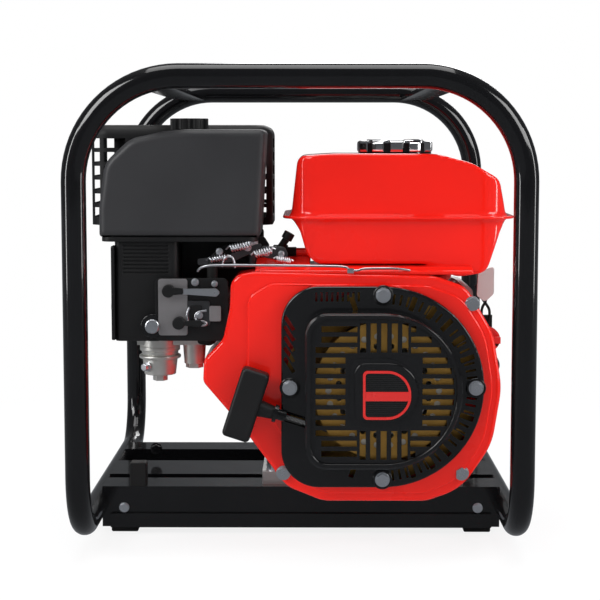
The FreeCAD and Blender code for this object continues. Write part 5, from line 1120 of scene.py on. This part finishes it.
class PUMP_OT_controls(bpy.types.Operator):
    """Models the control panel's plates, springs, clips and levers, and the stop switch with its wires"""
    bl_idname = "pump.controls"
    bl_label = "Controls"

    def execute(self, context):
        softened("control_bracket", "control_backing_plate", matt_black(), 0.0006)
        front = plate("control_front_plate", oblong((-126, -100), (192, 242.5), 2.5), (-157.2, -155.9))
        fitted(front, brushed_grey(), "control_bracket", 0.0004, angle=40)
        self.choke()
        self.fuel_valve()
        softened("throttle_lever", "throttle_lever_arm", plated_steel(), 0.0004)
        rod = wire("governor_wire", [
            (-90, -166, 250), (-88, -171, 255.5), (-60, -172, 255.8), (-20, -172, 255.4), (20, -172, 255.0),
            (40, -172, 254.6), (44, -172, 251.4), (50, -172, 250.8), (54, -172, 252.6), (62, -172, 253),
            (88, -171, 253), (96, -168, 251)], 1.1)
        place(paint(rod, plated_steel()), body_of("governor_rod"), "governor_rod")
        clip = block("governor_wire_clip", mm(41, -173.6, 248.6), mm(47, -170.2, 253.2))
        fitted(clip, plated_steel(), "governor_rod", 0.0006)
        self.throttle_block()
        self.linkage()
        self.switch()
        return {"FINISHED"}

    def choke(self):
        """A black eye with a boss, and a tapered bright arm, in place of the plain lever."""
        at = Vector((-116.5, -158, 232.0))
        arm = plate("choke_lever_arm", [(-108, 229.6, 1), (-74, 227.2, 3), (-70, 231, 3), (-74, 234.6, 3),
                                        (-108, 234.2, 1)], (-164.4, -162.8))
        rounded(arm, 0.0005, 2, 40)
        eye = drum("eye", mm(at.x, -156.4, at.z), mm(at.x, -165.2, at.z), 0.0056, 40)
        rounded(eye, 0.0010, 3, 40)
        boss = plate("boss", [(-117, 228.4, 2), (-103, 229.4, 1.5), (-103, 234.6, 1.5), (-117, 235.8, 2)],
                     (-165.1, -162.0))
        rounded(boss, 0.0006, 2, 40)
        paint(arm, plated_steel(), matt_black())
        for piece in (eye, boss):
            paint(piece, matt_black())
        lever = together("choke_lever_arm", [arm, eye, boss])
        smooth(lever, 40)
        place(lever, body_of("choke_lever"), "choke_lever")

    def fuel_valve(self):
        """A black eye with a short black arm that swings in front of the bracket."""
        arm = plate("arm", [
            (-106, 201.6, 1), (-88, 200.4, 2), (-85.2, 203.5, 2), (-88, 206.6, 2), (-106, 205.4, 1)],
            (-164.6, -163.2))
        rounded(arm, 0.0004, 2, 40)
        eye = drum("eye", mm(-107.5, -156.4, 203.5), mm(-107.5, -165.2, 203.5), 0.0056, 40)
        rounded(eye, 0.0010, 3, 40)
        paint(arm, matt_black())
        paint(eye, matt_black())
        lever = smooth(together("fuel_lever_arm", [arm, eye]), 40)
        place(lever, body_of("fuel_lever"), "fuel_lever")

    def throttle_block(self):
        """The dark bracket with its bright clip and the grey tab beside it."""
        parts = [
            (plate("throttle_bracket", oblong((-100, -80), (201, 223), 2), (-157.7, -156.3)), dark_steel()),
            (plate("throttle_step", oblong((-98, -87), (206, 219), 1.5), (-159, -157.6)), matt_black()),
            (plate("throttle_tab", oblong((-80.6, -70.2), (204.8, 218.6), 1.5), (-159.4, -158)),
             brushed_grey()),
            (plate("throttle_stay", oblong((-84, -72), (209, 214), 1), (-158.2, -156)), dark_steel())]
        for piece, material in parts:
            fitted(piece, material, "control_bracket", 0.0004, angle=40)
        clip = wire("throttle_clip", [
            (-98, -160, 217), (-100.5, -160, 213), (-100, -160, 204), (-97, -160, 201.5), (-84, -160, 201),
            (-82.6, -160, 203), (-85, -160, 205), (-92, -160, 205.4), (-93.4, -160, 208), (-92, -160, 213.8),
            (-83, -160, 214.4)], 1.0)
        place(paint(clip, plated_steel()), "chassis", slot="throttle_lever")
        for k, (x, z, size) in enumerate(((-93.2, 239.4, 2.6), (-76, 238, 2.2), (-89.4, 210, 2.4))):
            screw = hex_bolt("panel_screw_%d" % k, (x, -156.2 if k < 2 else -158.6, z), (0, -1, 0), size, 2.6)
            place(paint(screw, plated_steel()), "chassis", slot="engine_bolts")

    def linkage(self):
        """The governor arm, its springs, the clutter of levers above the shroud's left shoulder, and a matt
        black plate that paints the shade behind the carburettor.
        """
        arm = plate("governor_arm", [
            (-92, 253, 2), (-60, 256.5, 2), (-36, 268, 2), (-34, 273, 2), (-40, 272, 2), (-64, 262.5, 2),
            (-92, 259, 2)], (-141.5, -139.8))
        stand = plate("linkage_stand", [
            (-78, 250, 1), (-62, 250, 1), (-60, 266, 2), (-66, 272, 2), (-80, 262, 2)], (-134, -131.8))
        foot = plate("linkage_foot", oblong((-90, -36), (-140, -108), 4), (250.6, 252.4), "Z")
        post = drum("linkage_post", mm(-44, -126, 252), mm(-44, -126, 272), 0.0042, 24)
        top = drum("linkage_top", mm(-44, -126, 269), mm(-44, -126, 275), 0.0065, 6)
        for piece, material in ((arm, dark_steel()), (stand, matt_black()), (foot, matt_black()),
                                (post, dark_steel()), (top, plated_steel())):
            fitted(piece, material, "control_bracket", 0.0004, angle=40)
        springs = (
            ((-66, -150, 268), (-40, -150, 274), 3.4, 8), ((-44, -151, 263), (-22, -151, 268.5), 3.0, 7),
            ((-24, -150, 260), (-6, -150, 257.5), 2.6, 7), ((-84, -146, 258), (-62, -146, 262), 2.6, 7))
        for k, (start, end, radius, turns) in enumerate(springs):
            coil = spring("governor_spring_%d" % k, start, end, radius, 0.7, turns)
            place(paint(coil, plated_steel()), "chassis", slot="governor_rod")
        # Painted shade: a matt black plate set where the cylinder behind the carburettor lies in shadow, to
        # fill that dark gap.
        shade_fill = plate("painted_shade_plate", oblong((-117, -34), (230, 284), 3), (-97.5, -96))
        stay = plate("linkage_stay", [
            (-58, 254, 1), (-36, 254, 1), (-28, 270, 3), (-33, 278, 3), (-46, 276, 3), (-52, 266, 3)],
            (-122, -119.5))
        lug = plate("linkage_lug", [
            (-38, 262, 2), (-20, 258, 2), (-10, 262, 3), (-14, 270, 3), (-34, 271, 3)], (-147, -145))
        for piece, material in ((shade_fill, matt_black()), (stay, matt_black()), (lug, dark_steel())):
            fitted(piece, material, "control_bracket", 0.0006, angle=40)
        screws = ((-72, 266, 2.4), (-47, 270, 2.8), (-30, 265, 2.4), (-17, 264, 2.2))
        for k, (x, z, size) in enumerate(screws):
            screw = hex_bolt("linkage_screw_%d" % k, (x, -147, z), (0, -1, 0), size, 3.0)
            place(paint(screw, plated_steel()), "chassis", slot="engine_bolts")
        clip = wire("hose_clip", [(-68.4, -168, 254), (-68, -168, 258), (-66, -168, 262.5), (-61, -168, 263),
                                  (-59, -168, 262), (-57.6, -168, 257), (-57.2, -168, 253)], 0.9)
        place(paint(clip, plated_steel()), "chassis", slot="governor_rod")
        boot = drum("hose_boot", mm(-11.5, -112, 263), mm(-25, -112, 263), 0.0068, 32)
        fitted(boot, soft_rubber(), "fuel_line", 0.0008)
        band = ring("hose_band", mm(-19, -112, 263), (1, 0, 0), 0.0069, 0.0008, 40, 8)
        fitted(band, plated_steel(), "engine_bolts")
        elbow = wire("breather_hose", [(-10, -124, 281), (-12, -124, 277), (-17, -124, 270), (-22, -122, 262),
                                       (-23, -120, 252)], 3.4)
        place(paint(elbow, soft_rubber()), "chassis", slot="fuel_line")
        collar = drum("breather_collar", mm(-9.6, -124, 281.5), mm(-13, -124, 275.5), 0.0050, 24)
        fitted(collar, matt_black(), "fuel_line", 0.0006)

    def switch(self):
        softened("stop_switch_body", "stop_switch_mount", matt_black(), 0.0008)
        softened("stop_switch_knob", "stop_switch_dial", signal_red(), 0.001)
        for k, path in enumerate((
                [(176, -66, 190), (179, -72, 204), (172, -78, 214), (166, -82, 222), (163, -84, 230)],
                [(172, -66, 192), (168, -74, 206), (174, -80, 216), (170, -84, 224), (167, -86, 229)],
                [(180, -66, 166), (188, -70, 156), (184, -72, 146), (178, -70, 136), (170, -60, 128)],
                [(176, -66, 164), (183, -68, 152), (180, -68, 142), (172, -64, 134), (164, -58, 126)])):
            lead = wire("stop_switch_lead_%d" % k, path, 1.3)
            place(paint(lead, soft_rubber()), "chassis", slot="ignition_lead")


class PUMP_OT_brackets(bpy.types.Operator):
    """Models the pale bracket under the tank and the isolator block on the base"""
    bl_idname = "pump.brackets"
    bl_label = "Small brackets"

    def execute(self, context):
        pale = plate("tank_side_bracket", [
            (163, 244, 1), (178, 249, 2), (178, 224, 5), (170, 216, 4), (162, 222, 4)], (-100.5, -98))
        flange = plate("tank_side_flange", oblong((162, 176), (-100, -84), 3), (243.4, 245.4), "Z")
        pale = together("tank_side_bracket", [rounded(pale, 0.0006, 2, 40), rounded(flange, 0.0006, 2, 40)])
        fitted(pale, pale_grey(), "fuel_tank", angle=40)
        isolator = plate("isolator_block", oblong((-159.4, -143.8), (42, 66), 2), (-104, -90))
        fitted(isolator, soft_rubber(), "rear_crossmembers", 0.0012, 3)
        stud = hex_bolt("isolator_stud", (-146.2, 14, 56.4), (0, -1, 0), 4.4, 6)
        place(paint(stud, gloss_black()), "chassis", slot="rear_crossmembers")
        return {"FINISHED"}


class PUMP_OT_exhaust(bpy.types.Operator):
    """Finishes the muffler and its guard"""
    bl_idname = "pump.exhaust"
    bl_label = "Muffler"

    def execute(self, context):
        softened("muffler", "muffler_can", heat_black(), 0.0008)
        softened("muffler_guard", "muffler_guard_cage", heat_black(), 0.0003)
        return {"FINISHED"}


class PUMP_OT_pump_end(bpy.types.Operator):
    """Finishes the pump, its ports and its caps"""
    bl_idname = "pump.pump_end"
    bl_label = "Pump end"

    def execute(self, context):
        others = {"mechanical_seal": ground_steel, "impeller": iron_casting, "check_valve_flap": soft_rubber}
        for node in ("pump_bracket", "mechanical_seal", "impeller", "pump_casing", "check_valve_flap",
                     "suction_flange", "discharge_head", "left_outlet_cap", "right_outlet_cap",
                     "rear_outlet_cap", "prime_plug"):
            softened(node, node + "_casting", others.get(node, cast_alloy)(), 0.0008)
        return {"FINISHED"}


STEPS = (PUMP_OT_stage, PUMP_OT_cage, PUMP_OT_fasteners, PUMP_OT_engine, PUMP_OT_shroud, PUMP_OT_starter,
         PUMP_OT_pull, PUMP_OT_tank, PUMP_OT_fuel, PUMP_OT_intake, PUMP_OT_controls, PUMP_OT_brackets,
         PUMP_OT_exhaust, PUMP_OT_pump_end)


class PUMP_PT_sidebar(bpy.types.Panel):
    """Lists the pump's pieces and their settings"""
    bl_idname = "PUMP_PT_sidebar"
    bl_label = "Fire Pump"
    bl_space_type = "VIEW_3D"
    bl_region_type = "UI"
    bl_category = "Fire Pump"

    def draw(self, context):
        layout = self.layout
        for group in (context.scene.pump_colours, context.scene.pump_sizes):
            for key in group.__annotations__:
                layout.prop(group, key)
        for step in STEPS:
            layout.operator(step.bl_idname)


def register():
    for cls in (PumpColours, PumpSizes, *STEPS, PUMP_PT_sidebar):
        bpy.utils.register_class(cls)
    bpy.types.Scene.pump_colours = PointerProperty(type=PumpColours)
    bpy.types.Scene.pump_sizes = PointerProperty(type=PumpSizes)


def unregister():
    del bpy.types.Scene.pump_sizes
    del bpy.types.Scene.pump_colours
    for cls in reversed((PumpColours, PumpSizes, *STEPS, PUMP_PT_sidebar)):
        bpy.utils.unregister_class(cls)


def main():
    register()
    for step in STEPS:
        group, call = step.bl_idname.split(".")
        getattr(getattr(bpy.ops, group), call)()


if __name__ == "__main__":
    main()
